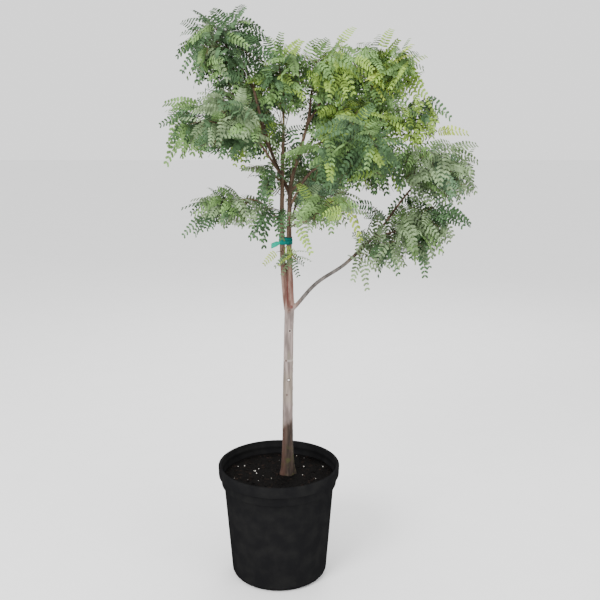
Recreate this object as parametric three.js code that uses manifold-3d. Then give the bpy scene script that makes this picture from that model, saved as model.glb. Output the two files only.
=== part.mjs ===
// A potted tamarind tree: nursery pot, soil, one clear trunk, a fork and an open, feathery crown.
// Millimetres. The origin is the centre of the pot's underside, +Z is up, +X is to the right and
// -Y is towards the viewer.
import * as THREE from "three";
import { mergeVertices } from "three/addons/utils/BufferGeometryUtils.js";
import Module from "manifold-3d";

const wasm = await Module();
wasm.setup();

// Driving dimensions of the pot
const POT = {
  rimRadius: 177.5,
  height: 341,
  lipHeight: 32,
  lipInnerRadius: 168,
  lipRounding: 3,
  collarHeight: 30,
  collarRadius: 168.5,
  collarSlope: 3,
  shoulderRadius: 161,
  footRadius: 141,
  footRounding: 17,
  wall: 4,
  floor: 5,
  sides: 32,
};

// Driving dimensions of the soil, which fills the pot to a little below its lip
const SOIL = { edgeDepth: 38, mound: 7, flatRadius: 40, sideGap: 0.4, footInset: 2 };
const SOIL_EDGE = POT.height - SOIL.edgeDepth;
const SOIL_TOP = SOIL_EDGE + SOIL.mound;

// The clear distance between two pieces that meet
const GAP = 0.3;

// Root flare at the ground and the swelling under the fork, both added to the trunk's own taper
const FLARE = { radius: 8, height: 34 };
const FORK = { z: 806, swell: 1.2, height: 50 };

// The band that ties the two leaders together, and its loose tail
const TIE = {
  z: 1004,
  height: 20,
  thickness: 1.2,
  clearance: 0.9,
  tailLength: 26,
  tailHeight: 13,
  tailTilt: 0.25,
  tailInset: 0.9,
  tailForward: 0.62,
  arcSteps: 8,
};

// Leaves: their size, the half width along them, and the ranges from which each one is drawn
const LEAF = {
  length: 102,
  width: 41,
  outline: [[0, 0], [0.36, 1], [1, 0.62]],
  fold: 3,
  thickness: 2,
  spacing: 34,
  apart: 20,
  rows: 8,
  tipShare: 0.98,
  tipTurn: 0.25,
  turn: [0.85, 1.15],
  roll: [-1.1, 1.1],
  hang: [0.4, 1.2],
  scale: [0.84, 1.08],
  sag: [0.08, 0.2],
  droopSag: 0.25,
};

// The stem of a mass, and the shoots that it bears from its tip back to its foot
const STEM = { foot: 3, tip: 2, fit: 0.95, steps: 3, first: 0.97, last: 0.08 };
const SHOOT = {
  foot: 1.5,
  tip: 1.1,
  steps: 2,
  least: 34,
  reserve: 0.8,
  footTilt: 1.9,
  tipTilt: 0.6,
  tiltSpread: [-0.15, 0.15],
  hang: 0.5,
  clearance: 5.5,
};
const GOLDEN_ANGLE = 2.39996;
const LIMB_CLEARANCE = 7.5;
const PROBE_SPACING = 6;
const SPACE_MARGIN = 1;

// The smallest step that a mass's surface keeps
const DETAIL = 0.15;

// The limbs: where each starts, the way it leaves, where it ends, the way it arrives there, and its
// radius at both ends. A limb with "on" starts on that limb, at the part "at" of its length; at 1 it
// carries on from the tip.
const LIMBS = [
  { name: "trunk", foot: [26, 0, SOIL_TOP + GAP], leave: [0, 0, 1], tip: [32, 0, FORK.z],
    arrive: [0.03, 0, 1], radii: [16.2, 12.8], sides: 12, steps: 14 },
  { name: "leader_left", on: "trunk", at: 1, shift: [-6, 0, 0], leave: [-0.12, 0, 1], tip: [18, 0, 1303],
    arrive: [0.03, 0, 1], radii: [9.6, 3.8], sides: 8, steps: 10 },
  { name: "leader_right", on: "trunk", at: 1, shift: [6, 0, 0], leave: [-0.04, 0, 1], tip: [36, 0, 1150],
    arrive: [0.07, 0, 1], radii: [9.4, 5.8], sides: 8, steps: 6 },
  { name: "bough_low_right", on: "trunk", at: 0.985, leave: [1, -0.05, 0.93], tip: [279, 0, 1027],
    arrive: [0.67, 0, 0.74], radii: [5.8, 4.3], sides: 7, steps: 8 },
  { name: "bough_right", on: "bough_low_right", at: 1, leave: [0.6, 0, 0.8], tip: [373, -6, 1156],
    arrive: [0.64, -0.05, 0.76], radii: [3.6, 2.7], sides: 6, steps: 5 },
  { name: "bough_right_low", on: "bough_low_right", at: 0.93, leave: [1, -0.3, 0.35], tip: [330, -28, 1034],
    arrive: [1, -0.2, 0.3], radii: [3.2, 2.5], sides: 6, steps: 4 },
  { name: "bough_upright", on: "leader_right", at: 1, leave: [0.16, 0, 1], tip: [90, 0, 1384],
    arrive: [0.02, 0, 1], radii: [5.4, 3.4], sides: 7, steps: 7 },
  { name: "bough_left", on: "leader_right", at: 0.95, leave: [-0.62, 0.62, 1], tip: [-62, 8, 1414],
    arrive: [-0.22, 0, 1], radii: [5.4, 3.6], sides: 7, steps: 8 },
  { name: "bough_top_right", on: "bough_upright", at: 0.72, leave: [0.6, 0.1, 1], tip: [172, 6, 1436],
    arrive: [0.8, 0, 0.6], radii: [3.4, 2.6], sides: 6, steps: 5 },
  { name: "bough_side_left", on: "bough_left", at: 0.56, leave: [-1, -0.3, 0.35], tip: [-112, -14, 1318],
    arrive: [-1, 0, 0.1], radii: [3.4, 2.6], sides: 6, steps: 4 },
  { name: "bough_low_left", on: "leader_left", at: 0.5, leave: [-1, -0.15, 0.7], tip: [-60, -12, 1116],
    arrive: [-1, 0, 0.35], radii: [3.6, 2.7], sides: 6, steps: 4 },
  { name: "bough_centre", on: "leader_right", at: 0.97, leave: [1, -0.35, 0.75], tip: [150, -22, 1236],
    arrive: [1, -0.1, 0.5], radii: [4, 2.9], sides: 6, steps: 5 },
  { name: "bough_shoulder", on: "bough_upright", at: 0.4, leave: [1, 0.4, 0.4], tip: [284, 36, 1326],
    arrive: [1, -0.05, 0.15], radii: [4, 2.7], sides: 6, steps: 6 },
  { name: "bough_centre_low", on: "leader_right", at: 0.72, leave: [1, 0.3, 0.5], tip: [84, 14, 1088],
    arrive: [1, 0, 0.4], radii: [3.2, 2.5], sides: 6, steps: 3 },
  { name: "bough_front_left", on: "leader_left", at: 0.76, leave: [-0.5, -1, 0.5], tip: [-56, -112, 1284],
    arrive: [-0.6, -1, 0.4], radii: [3.6, 2.6], sides: 6, steps: 4 },
  { name: "bough_back_left", on: "bough_left", at: 0.42, leave: [-0.5, 1, 0.5], tip: [-66, 118, 1340],
    arrive: [-0.5, 1, 0.5], radii: [3.4, 2.6], sides: 6, steps: 4 },
  { name: "bough_front_right", on: "leader_right", at: 0.84, leave: [0.3, -1, 0.6], tip: [112, -118, 1216],
    arrive: [0.8, -0.8, 0.5], radii: [3.8, 2.6], sides: 6, steps: 4 },
  { name: "bough_back_right", on: "bough_upright", at: 0.3, leave: [0.4, 1, 0.5], tip: [140, 118, 1306],
    arrive: [0.7, 0.8, 0.4], radii: [3.6, 2.6], sides: 6, steps: 4 },
  { name: "bough_back_low", on: "leader_right", at: 0.66, leave: [0.2, 1, 0.5], tip: [76, 118, 1136],
    arrive: [0.5, 1, 0.4], radii: [3.4, 2.5], sides: 6, steps: 4 },
  { name: "bough_front_low", on: "leader_right", at: 0.67, leave: [0.4, -1, 0.5], tip: [92, -110, 1078],
    arrive: [0.6, -1, 0.4], radii: [3.2, 2.4], sides: 6, steps: 4 },
];

// The masses of foliage: the limb each grows on and where, the middle and the half sizes of its space,
// the point that its stem reaches, how many shoots the stem bears and how far they hang.
const MASSES = [
  { name: "mass_top_left", on: "bough_left", at: 1, centre: [-146, -5, 1522],
    half: [130, 126, 134], reach: [-164, -4, 1580], shoots: 24, droop: 0.4 },
  { name: "mass_left", on: "bough_side_left", at: 1, centre: [-212, -16, 1318],
    half: [116, 122, 98], reach: [-244, -22, 1326], shoots: 22, droop: 0.5 },
  { name: "mass_left_inner", on: "bough_left", at: 0.6, centre: [-58, 12, 1320],
    half: [120, 124, 128], reach: [-84, -40, 1390], shoots: 26, droop: 0.5 },
  { name: "mass_low_left", on: "bough_low_left", at: 1, centre: [-134, -14, 1098],
    half: [132, 116, 72], reach: [-176, -18, 1112], shoots: 20, droop: 0.6 },
  { name: "mass_top_centre", on: "leader_left", at: 1, centre: [20, -4, 1440],
    half: [120, 124, 112], reach: [6, -16, 1476], shoots: 30, droop: 0.35 },
  { name: "mass_top", on: "bough_upright", at: 1, centre: [140, 6, 1446],
    half: [116, 124, 104], reach: [126, 14, 1490], shoots: 30, droop: 0.35 },
  { name: "mass_top_right", on: "bough_top_right", at: 1, centre: [280, 0, 1466],
    half: [126, 126, 102], reach: [336, -4, 1486], shoots: 26, droop: 0.25 },
  { name: "mass_shoulder", on: "bough_shoulder", at: 1, centre: [364, 14, 1324],
    half: [104, 116, 84], reach: [418, 6, 1362], shoots: 20, droop: 0.45 },
  { name: "mass_centre_right", on: "bough_centre", at: 0.8, centre: [190, -14, 1322],
    half: [124, 116, 104], reach: [216, -36, 1356], shoots: 18, droop: 0.4 },
  { name: "mass_centre", on: "bough_centre", at: 1, centre: [262, -8, 1218],
    half: [124, 118, 98], reach: [312, -14, 1238], shoots: 26, droop: 0.55 },
  { name: "mass_low_centre", on: "bough_centre_low", at: 1, centre: [134, 6, 1124],
    half: [134, 118, 88], reach: [178, 10, 1138], shoots: 26, droop: 0.6 },
  { name: "mass_right", on: "bough_right", at: 1, centre: [440, -8, 1200],
    half: [138, 124, 108], reach: [502, -12, 1212], shoots: 28, droop: 0.45 },
  { name: "mass_low_right", on: "bough_right_low", at: 1, centre: [360, -22, 1040],
    half: [130, 120, 104], reach: [420, -28, 1062], shoots: 30, droop: 0.5 },
  { name: "mass_under_right", on: "bough_low_right", at: 0.82, centre: [292, -24, 1000],
    half: [100, 108, 96], reach: [316, -60, 1010], shoots: 16, droop: 0.5 },
  { name: "mass_fork", on: "leader_right", at: 0.5, centre: [26, -40, 956],
    half: [74, 78, 52], reach: [56, -70, 962], shoots: 12, droop: 0.6 },
  { name: "mass_middle", on: "leader_left", at: 0.72, centre: [-20, -26, 1194],
    half: [90, 110, 102], reach: [-42, -52, 1210], shoots: 18, droop: 0.6 },
  { name: "mass_front_left", on: "bough_front_left", at: 1, centre: [-104, -184, 1342],
    half: [146, 124, 106], reach: [-168, -214, 1336], shoots: 18, droop: 0.4 },
  { name: "mass_back_left", on: "bough_back_left", at: 1, centre: [-96, 192, 1376],
    half: [150, 128, 128], reach: [-156, 226, 1412], shoots: 17, droop: 0.4 },
  { name: "mass_front_right", on: "bough_front_right", at: 1, centre: [184, -188, 1274],
    half: [160, 126, 114], reach: [252, -220, 1292], shoots: 18, droop: 0.4 },
  { name: "mass_back_right", on: "bough_back_right", at: 1, centre: [208, 194, 1346],
    half: [164, 130, 134], reach: [280, 230, 1382], shoots: 16, droop: 0.4 },
  { name: "mass_back_low", on: "bough_back_low", at: 1, centre: [104, 186, 1168],
    half: [130, 118, 96], reach: [134, 212, 1186], shoots: 20, droop: 0.5 },
  { name: "mass_front_low", on: "bough_front_low", at: 1, centre: [124, -172, 1126],
    half: [118, 112, 76], reach: [146, -192, 1136], shoots: 18, droop: 0.6 },
];

const vec = (a) => new THREE.Vector3(...a);
const UP = vec([0, 0, 1]);

// A closed geometry becomes a solid that can be joined and cut
function solidOf(geometry) {
  geometry.deleteAttribute("normal");
  geometry.deleteAttribute("uv");
  const merged = mergeVertices(geometry, 1e-4);
  const vertProperties = new Float32Array(merged.attributes.position.array);
  const triVerts = new Uint32Array(merged.index.array);
  return new wasm.Manifold(new wasm.Mesh({ numProp: 3, vertProperties, triVerts }));
}

// A solid becomes a geometry again
function geometryOf(solid) {
  const mesh = solid.getMesh();
  const geometry = new THREE.BufferGeometry();
  geometry.setAttribute("position", new THREE.BufferAttribute(mesh.vertProperties, 3));
  geometry.setIndex(new THREE.BufferAttribute(mesh.triVerts, 1));
  return geometry;
}

// The largest of a solid's bodies, without the scraps that a cut leaves
function mainBody(solid) {
  const bodies = solid.decompose();
  return bodies.reduce((best, body) => (body.volume() > best.volume() ? body : best));
}

// An even random number from 0 to 1, the same each run, for two whole numbers
function chance(a, b) {
  let h = Math.imul(a + 1, 0x9e3779b1) ^ Math.imul(b + 1, 0x85ebca6b);
  h = Math.imul(h ^ (h >>> 15), 0x2c1b3c6d);
  h = Math.imul(h ^ (h >>> 12), 0x297a2d39);
  return ((h ^ (h >>> 15)) >>> 0) / 4294967296;
}

// A value drawn from a range in the same way
const draw = ([low, high], a, b) => THREE.MathUtils.lerp(low, high, chance(a, b));

// A curve that leaves one point and arrives at another in given directions
function arc(foot, leave, tip, arrive) {
  const handle = 0.35 * foot.distanceTo(tip);
  return new THREE.CubicBezierCurve3(
    foot,
    foot.clone().addScaledVector(leave.clone().normalize(), handle),
    tip.clone().addScaledVector(arrive.clone().normalize(), -handle),
    tip,
  );
}

// A round tube along a curve: a closed cylinder whose rows of points are moved onto the curve
function tube(curve, radiusAt, sides, steps, grow = 0) {
  const geometry = new THREE.CylinderGeometry(1, 1, 1, sides, steps);
  const frames = curve.computeFrenetFrames(steps, false);
  const centres = frames.tangents.map((tangent, k) => {
    const end = k === 0 ? -grow : k === steps ? grow : 0;
    return curve.getPointAt(k / steps).addScaledVector(tangent, end);
  });
  const place = geometry.attributes.position;
  for (let i = 0; i < place.count; i += 1) {
    const k = Math.round((place.getY(i) + 0.5) * steps);
    const radius = radiusAt(k / steps) + grow;
    const point = centres[k].clone()
      .addScaledVector(frames.normals[k], place.getX(i) * radius)
      .addScaledVector(frames.binormals[k], -place.getZ(i) * radius);
    place.setXYZ(i, point.x, point.y, point.z);
  }
  return solidOf(geometry);
}

// The pot: a thin-walled tub with a rolled lip, a collar under it and a rounded foot
function pot() {
  const { rimRadius, height, lipHeight, lipInnerRadius, lipRounding, collarHeight } = POT;
  const { collarRadius, collarSlope, shoulderRadius, footRadius, footRounding, wall, floor } = POT;
  const lipFoot = height - lipHeight;
  const collarFoot = lipFoot - collarHeight;
  const outline = [[0, 0], [footRadius - footRounding, 0]];
  for (const angle of [30, 60]) {
    const turn = THREE.MathUtils.degToRad(angle);
    outline.push([
      footRadius - footRounding + footRounding * Math.sin(turn),
      footRounding - footRounding * Math.cos(turn),
    ]);
  }
  outline.push(
    [footRadius, footRounding],
    [shoulderRadius, collarFoot],
    [collarRadius, collarFoot + collarSlope],
    [collarRadius, lipFoot],
    [rimRadius - lipRounding / 3, lipFoot + lipRounding],
    [rimRadius, height - lipRounding],
    [rimRadius - lipRounding, height],
    [lipInnerRadius + lipRounding / 3, height],
    [lipInnerRadius, height - lipRounding],
    [lipInnerRadius - lipRounding, lipFoot],
    [shoulderRadius - wall, collarFoot],
    [footRadius - wall, footRounding],
    [footRadius - footRounding, floor],
    [0, floor],
  );
  const points = outline.map(([r, z]) => new THREE.Vector2(r, z));
  return new THREE.LatheGeometry(points, POT.sides).rotateX(Math.PI / 2);
}

// The inside radius of the pot at a height
function potInside(z) {
  const lipFoot = POT.height - POT.lipHeight;
  const collarFoot = lipFoot - POT.collarHeight;
  const shoulder = POT.shoulderRadius - POT.wall;
  if (z > collarFoot) {
    const share = (z - collarFoot) / POT.collarHeight;
    return THREE.MathUtils.lerp(shoulder, POT.lipInnerRadius - POT.lipRounding, share);
  }
  const share = (z - POT.footRounding) / (collarFoot - POT.footRounding);
  return THREE.MathUtils.lerp(POT.footRadius - POT.wall, shoulder, share);
}

// The soil: it fills the pot and is mounded towards the trunk
function soil() {
  const { floor, footRadius, footRounding, height, lipHeight, collarHeight } = POT;
  const collarFoot = height - lipHeight - collarHeight;
  const bottom = floor + GAP;
  const outline = [
    [0, bottom],
    [footRadius - footRounding - SOIL.footInset, bottom],
    [potInside(footRounding) - SOIL.sideGap, footRounding + SOIL.sideGap],
    [potInside(collarFoot) - SOIL.sideGap, collarFoot],
    [potInside(SOIL_EDGE) - SOIL.sideGap, SOIL_EDGE],
  ];
  for (const share of [0.5, 0]) {
    const radius = THREE.MathUtils.lerp(SOIL.flatRadius, potInside(SOIL_EDGE), share);
    outline.push([radius, SOIL_TOP - SOIL.mound * share * share]);
  }
  outline.push([0, SOIL_TOP]);
  const points = outline.map(([r, z]) => new THREE.Vector2(r, z));
  return new THREE.LatheGeometry(points, POT.sides).rotateX(Math.PI / 2);
}

// A slot-shaped outline round two centres on a line
function slotOutline(Outline, halfLength, radius) {
  const outline = new Outline();
  outline.absarc(halfLength, 0, radius, -Math.PI / 2, Math.PI / 2, false);
  outline.absarc(-halfLength, 0, radius, Math.PI / 2, Math.PI * 1.5, false);
  return outline;
}

// The tie: a flat band round both leaders, with a loose tail to the left
function tie(limbs) {
  const [left, right] = ["leader_left", "leader_right"].map((name) => {
    const { curve, radiusAt } = limbs.get(name);
    const share = (TIE.z - curve.getPointAt(0).z) / (curve.getPointAt(1).z - curve.getPointAt(0).z);
    return { x: curve.getPointAt(share).x, radius: radiusAt(share) };
  });
  const inner = Math.max(left.radius, right.radius) + TIE.clearance;
  const outer = inner + TIE.thickness;
  const halfLength = (right.x - left.x) / 2;
  const band = slotOutline(THREE.Shape, halfLength, outer);
  band.holes.push(slotOutline(THREE.Path, halfLength, inner));
  const settings = { depth: TIE.height, bevelEnabled: false, curveSegments: TIE.arcSteps };
  const ring = solidOf(new THREE.ExtrudeGeometry(band, settings));
  const strip = new THREE.BoxGeometry(TIE.tailLength, TIE.thickness, TIE.tailHeight);
  strip.translate(-TIE.tailLength / 2, 0, 0).rotateY(-TIE.tailTilt);
  strip.translate(-halfLength - inner * TIE.tailInset, -inner * TIE.tailForward, TIE.height / 2);
  const whole = ring.add(solidOf(strip));
  return geometryOf(whole).translate((left.x + right.x) / 2, 0, TIE.z - TIE.height / 2);
}

// The radius of a limb at a part of its length, with the trunk's flare and fork swelling
function limbRadius(limb, share) {
  const plain = THREE.MathUtils.lerp(limb.radii[0], limb.radii[1], share);
  if (limb.name !== "trunk") {
    return plain;
  }
  const length = FORK.z - SOIL_TOP;
  const flare = FLARE.radius * Math.exp(-(share * length) / FLARE.height);
  const swell = FORK.swell * Math.exp(-((1 - share) * length) / FORK.height);
  return plain + flare + swell;
}

// The limbs' curves, each from a point of the limb that carries it
function layLimbs() {
  const limbs = new Map();
  for (const row of LIMBS) {
    const parent = limbs.get(row.on);
    let foot = row.foot && vec(row.foot);
    if (parent) {
      foot = parent.curve.getPointAt(row.at).add(vec(row.shift ?? [0, 0, 0]));
    }
    const curve = arc(foot, vec(row.leave), vec(row.tip), vec(row.arrive));
    limbs.set(row.name, { ...row, curve, radiusAt: (share) => limbRadius(row, share) });
  }
  return limbs;
}

// Points along every limb with their radii, for keeping leaves and twigs off the wood
function probeLimbs(limbs) {
  const probes = [];
  for (const limb of limbs.values()) {
    const count = Math.ceil(limb.curve.getLength() / PROBE_SPACING);
    for (let k = 0; k <= count; k += 1) {
      probes.push({ point: limb.curve.getPointAt(k / count), radius: limb.radiusAt(k / count) });
    }
  }
  return probes;
}

// The limbs' solids, and a slightly larger copy of each: every limb is cut clear of those before it
function limbSolids(limbs) {
  const solids = new Map();
  const clear = new Map();
  for (const limb of limbs.values()) {
    let solid = tube(limb.curve, limb.radiusAt, limb.sides, limb.steps);
    for (const cutter of clear.values()) {
      solid = solid.subtract(cutter);
    }
    solids.set(limb.name, mainBody(solid));
    clear.set(limb.name, tube(limb.curve, limb.radiusAt, limb.sides, limb.steps, GAP));
  }
  return { solids, clear };
}

// The planes that part each mass's space from its neighbours'
function partSpaces(masses) {
  for (const mass of masses) {
    mass.middle = vec(mass.centre);
    mass.size = vec(mass.half);
    mass.planes = [];
  }
  for (const mass of masses) {
    for (const other of masses) {
      if (other === mass) {
        continue;
      }
      const towards = other.middle.clone().sub(mass.middle);
      const distance = towards.length();
      towards.normalize();
      const ownReach = towards.clone().multiply(mass.size).length();
      const otherReach = towards.clone().multiply(other.size).length();
      if (distance < ownReach + otherReach + 2 * SPACE_MARGIN) {
        const share = ownReach / (ownReach + otherReach);
        mass.planes.push({ towards, limit: distance * share - SPACE_MARGIN });
      }
    }
  }
}

// Whether a point lies in a mass's own space
function inSpace(mass, point) {
  const from = point.clone().sub(mass.middle);
  if (from.clone().divide(mass.size).lengthSq() > 1) {
    return false;
  }
  return mass.planes.every((plane) => from.dot(plane.towards) < plane.limit);
}

// How far a mass's space goes on from a point in a direction
function room(mass, point, direction) {
  const from = point.clone().sub(mass.middle).divide(mass.size);
  const step = direction.clone().divide(mass.size);
  const a = step.lengthSq();
  const b = from.dot(step);
  const c = from.lengthSq() - 1;
  let reach = (-b + Math.sqrt(Math.max(0, b * b - a * c))) / a;
  for (const plane of mass.planes) {
    const speed = direction.dot(plane.towards);
    if (speed > 0) {
      const left = plane.limit - point.clone().sub(mass.middle).dot(plane.towards);
      reach = Math.min(reach, left / speed);
    }
  }
  return Math.max(0, reach);
}

// Whether points keep clear of the limbs
function clearOfLimbs(probes, points, clearance) {
  return points.every((point) => probes.every((probe) => {
    const least = probe.radius + clearance;
    return probe.point.distanceToSquared(point) > least * least;
  }));
}

// A point along the middle of a leaf, which sags towards its tip
function leafPoint(leaf, share) {
  return leaf.root.clone()
    .addScaledVector(leaf.along, share * leaf.length)
    .addScaledVector(UP, -leaf.sag * leaf.length * share * share);
}

// The way a leaf's lower face looks
function underside(leaf) {
  const down = leaf.across.clone().cross(leaf.along).normalize();
  return down.z > 0 ? down.negate() : down;
}

// A leaf's blade: a point at its root, a folded row of four points and a blunt end of two
function blade(leaf) {
  const down = underside(leaf);
  const at = (share, sideways, low) => leafPoint(leaf, share)
    .addScaledVector(leaf.across, sideways * leaf.width * 0.5)
    .addScaledVector(down, low);
  const [[root], [belly, bellyWidth], [end, endWidth]] = LEAF.outline;
  return [
    at(root, 0, 0),
    at(belly, bellyWidth, LEAF.fold),
    at(belly, 0, -LEAF.thickness / 2),
    at(belly, -bellyWidth, LEAF.fold),
    at(belly, 0, LEAF.thickness / 2),
    at(end, endWidth, 0),
    at(end, -endWidth, 0),
  ];
}
const BLADE_FACES = [
  [0, 2, 1], [0, 3, 2], [0, 4, 3], [0, 1, 4],
  [1, 2, 5], [2, 6, 5], [2, 3, 6], [3, 4, 6], [4, 5, 6], [4, 1, 5],
];

// The blade's solid, with its faces looking outwards whichever hand the leaf has
function bladeSolid(leaf) {
  const places = blade(leaf).flatMap((point) => point.toArray());
  const turned = leaf.across.clone().cross(underside(leaf)).dot(leaf.along) > 0;
  const geometry = new THREE.BufferGeometry();
  geometry.setAttribute("position", new THREE.Float32BufferAttribute(places, 3));
  geometry.setIndex(BLADE_FACES.flatMap(([a, b, c]) => (turned ? [a, c, b] : [a, b, c])));
  return solidOf(geometry);
}

// Ways to hold a leaf, tried in turn until one has room: how far it turns out, its hand, lift and size
const HOLDS = [
  { turn: 1, hand: 1, lift: 0, size: 1 },
  { turn: 0.6, hand: 1, lift: 0.1, size: 0.92 },
  { turn: 1, hand: -1, lift: 0.15, size: 0.92 },
  { turn: 1.5, hand: 1, lift: -0.6, size: 0.86 },
  { turn: 1.4, hand: -1, lift: 0.5, size: 0.86 },
  { turn: 2.2, hand: 1, lift: 0.2, size: 0.8 },
  { turn: 0.2, hand: -1, lift: -0.3, size: 0.74 },
];

// A leaf on a twig, from its root, the twig's direction there, its rank and how it is held. A rank
// below 0 is a leaf at the end of its twig.
function heldLeaf(bud, hold, mass) {
  const { root, tangent, rank, id } = bud;
  const level = tangent.clone().cross(UP).normalize();
  const hand = (rank % 2 === 0 ? 1 : -1) * hold.hand;
  const turn = hold.turn * (rank < 0 ? LEAF.tipTurn : draw(LEAF.turn, id, 0));
  const along = tangent.clone().multiplyScalar(Math.cos(turn))
    .addScaledVector(level, hand * Math.sin(turn))
    .addScaledVector(UP, hold.lift - mass.droop * draw(LEAF.hang, id, 2))
    .normalize();
  const across = along.clone().cross(UP).normalize().applyAxisAngle(along, draw(LEAF.roll, id, 1));
  const scale = hold.size * draw(LEAF.scale, id, 3);
  const sag = LEAF.droopSag * mass.droop + draw(LEAF.sag, id, 4);
  return { root, along, across, length: LEAF.length * scale, width: LEAF.width * scale, sag };
}

// Points spread over a leaf, in rows of three from near its root to its end
function leafMarks(leaf) {
  const [, [belly], [, endWidth]] = LEAF.outline;
  const marks = [];
  for (let row = 1; row <= LEAF.rows; row += 1) {
    const share = row / LEAF.rows;
    const middle = leafPoint(leaf, share);
    const beyond = THREE.MathUtils.mapLinear(share, belly, 1, 1, endWidth);
    const width = share < belly ? share / belly : beyond;
    for (const part of [-0.35, 0, 0.35]) {
      marks.push(middle.clone().addScaledVector(leaf.across, part * width * leaf.width));
    }
  }
  return marks;
}

// The points of every second row that lie on the middle of the leaf
const middleMarks = (marks) => marks.filter((_, k) => k % 6 === 4);

// Whether a leaf stays in its mass's space, off the limbs and off the leaves that are there already
function leafFits(leaf, mass, probes, taken) {
  const marks = leafMarks(leaf);
  const free = (point) => taken.every((other) => other.distanceTo(point) > LEAF.apart);
  return blade(leaf).every((point) => inSpace(mass, point))
    && middleMarks(marks).every(free)
    && clearOfLimbs(probes, marks, LIMB_CLEARANCE);
}

// Adds the first way of holding a leaf that fits. Where none fits, the leaf is skipped.
function addLeaf(grown, bud, mass, probes) {
  const leaf = HOLDS.map((hold) => heldLeaf(bud, hold, mass))
    .find((held) => leafFits(held, mass, probes, grown.taken));
  if (leaf) {
    grown.leaves.push(leaf);
    grown.taken.push(...middleMarks(leafMarks(leaf)));
  }
}

// The place where a leaf starts on a curve
function budAt(curve, share, rank, id) {
  return { root: curve.getPointAt(share), tangent: curve.getTangentAt(share), rank, id };
}

// Leaves along a shoot: one at its tip, then two ranks back to its foot
function addLeaves(grown, curve, id, mass, probes) {
  const count = Math.max(1, Math.round(curve.getLength() / LEAF.spacing));
  addLeaf(grown, budAt(curve, LEAF.tipShare, -1, id), mass, probes);
  for (let rank = 0; rank < count; rank += 1) {
    const share = 1 - (rank + 0.45) / count;
    addLeaf(grown, budAt(curve, share, rank, id + rank + 1), mass, probes);
  }
}

// The stem of a mass, from its limb to the point that it reaches
function stemOf(mass, limbs) {
  const parent = limbs.get(mass.on);
  const foot = parent.curve.getPointAt(mass.at);
  const reach = vec(mass.reach);
  const leave = mass.at === 1 ? parent.curve.getTangentAt(1) : reach.clone().sub(foot).normalize();
  const arrive = reach.clone().sub(mass.middle).normalize().add(leave);
  const radius = Math.min(STEM.foot, STEM.fit * parent.radiusAt(mass.at));
  return { curve: arc(foot, leave, reach, arrive), foot: radius, tip: STEM.tip, steps: STEM.steps };
}

// The way shoot number s leaves the stem: each is turned from the one before by the golden angle, and
// those near the stem's foot lean back
function shootWay(stem, share, s, index, id) {
  const tangent = stem.getTangentAt(share);
  const side = tangent.clone().cross(UP).normalize();
  side.applyAxisAngle(tangent, s * GOLDEN_ANGLE + index);
  const tilt = THREE.MathUtils.lerp(SHOOT.footTilt, SHOOT.tipTilt, share) + draw(SHOOT.tiltSpread, id, 1);
  return tangent.multiplyScalar(Math.cos(tilt)).addScaledVector(side, Math.sin(tilt));
}

// A mass's stem and shoots with their leaves. Where there is no room for a shoot and its leaves, the
// stem bears a leaf there.
function growMass(mass, index, limbs, probes) {
  const stem = stemOf(mass, limbs);
  const grown = { twigs: [stem], leaves: [], taken: [] };
  addLeaf(grown, budAt(stem.curve, LEAF.tipShare, -1, index * 2000), mass, probes);
  for (let s = 0; s < mass.shoots; s += 1) {
    const id = index * 100 + s + 1;
    const share = THREE.MathUtils.lerp(STEM.first, STEM.last, (s + 0.5) / mass.shoots);
    const start = stem.curve.getPointAt(share);
    const out = shootWay(stem.curve, share, s, index, id);
    const length = room(mass, start, out) - LEAF.length * SHOOT.reserve;
    if (length < SHOOT.least) {
      addLeaf(grown, { root: start, tangent: out, rank: -1, id: id * 20 }, mass, probes);
      continue;
    }
    const tip = start.clone().addScaledVector(out, length)
      .addScaledVector(UP, -mass.droop * SHOOT.hang * length);
    const curve = arc(start, out, tip, out.clone().addScaledVector(UP, -mass.droop));
    const marks = [0.25, 0.5, 0.75, 1].map((part) => curve.getPointAt(part));
    if (marks.every((point) => inSpace(mass, point)) && clearOfLimbs(probes, marks, SHOOT.clearance)) {
      grown.twigs.push({ curve, foot: SHOOT.foot, tip: SHOOT.tip, steps: SHOOT.steps });
      addLeaves(grown, curve, id * 20, mass, probes);
    }
  }
  return grown;
}

// The mass as one solid, cut clear of the limb that carries it
function massSolid(grown, mass, clear) {
  const parts = grown.twigs.map((twig) => {
    const radiusAt = (share) => THREE.MathUtils.lerp(twig.foot, twig.tip, share);
    return tube(twig.curve, radiusAt, 3, twig.steps);
  });
  parts.push(...grown.leaves.map(bladeSolid));
  const whole = wasm.Manifold.union(parts).subtract(clear.get(mass.on));
  return mainBody(whole.simplify(DETAIL));
}

// Materials
const finish = (color, roughness) => new THREE.MeshStandardMaterial({ color, roughness, metalness: 0 });
const PLASTIC = finish(0x262626, 0.55);
const EARTH = finish(0x1e1d1d, 0.95);
const BARK = finish(0x8c7f78, 0.85);
const LEAVES = finish(0x788b62, 0.6);
const TAPE = finish(0x198278, 0.5);

// A named piece of the tree
function piece(name, geometry, material) {
  const mesh = new THREE.Mesh(geometry, material);
  mesh.name = name;
  return mesh;
}

const tree = new THREE.Group();
tree.add(piece("pot", pot(), PLASTIC));
tree.add(piece("soil", soil(), EARTH));

const limbs = layLimbs();
const { solids, clear } = limbSolids(limbs);
for (const [name, solid] of solids) {
  tree.add(piece(name, geometryOf(solid), BARK));
}

tree.add(piece("tie", tie(limbs), TAPE));

const probes = probeLimbs(limbs);
partSpaces(MASSES);
MASSES.forEach((mass, index) => {
  const grown = growMass(mass, index, limbs, probes);
  tree.add(piece(mass.name, geometryOf(massSolid(grown, mass, clear)), LEAVES));
});

export default tree;
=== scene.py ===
# The looks of a young tamarind tree in a nursery pot. Lengths are millimetres in the frame of the
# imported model, and each mesh is made in metres.
import math

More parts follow.
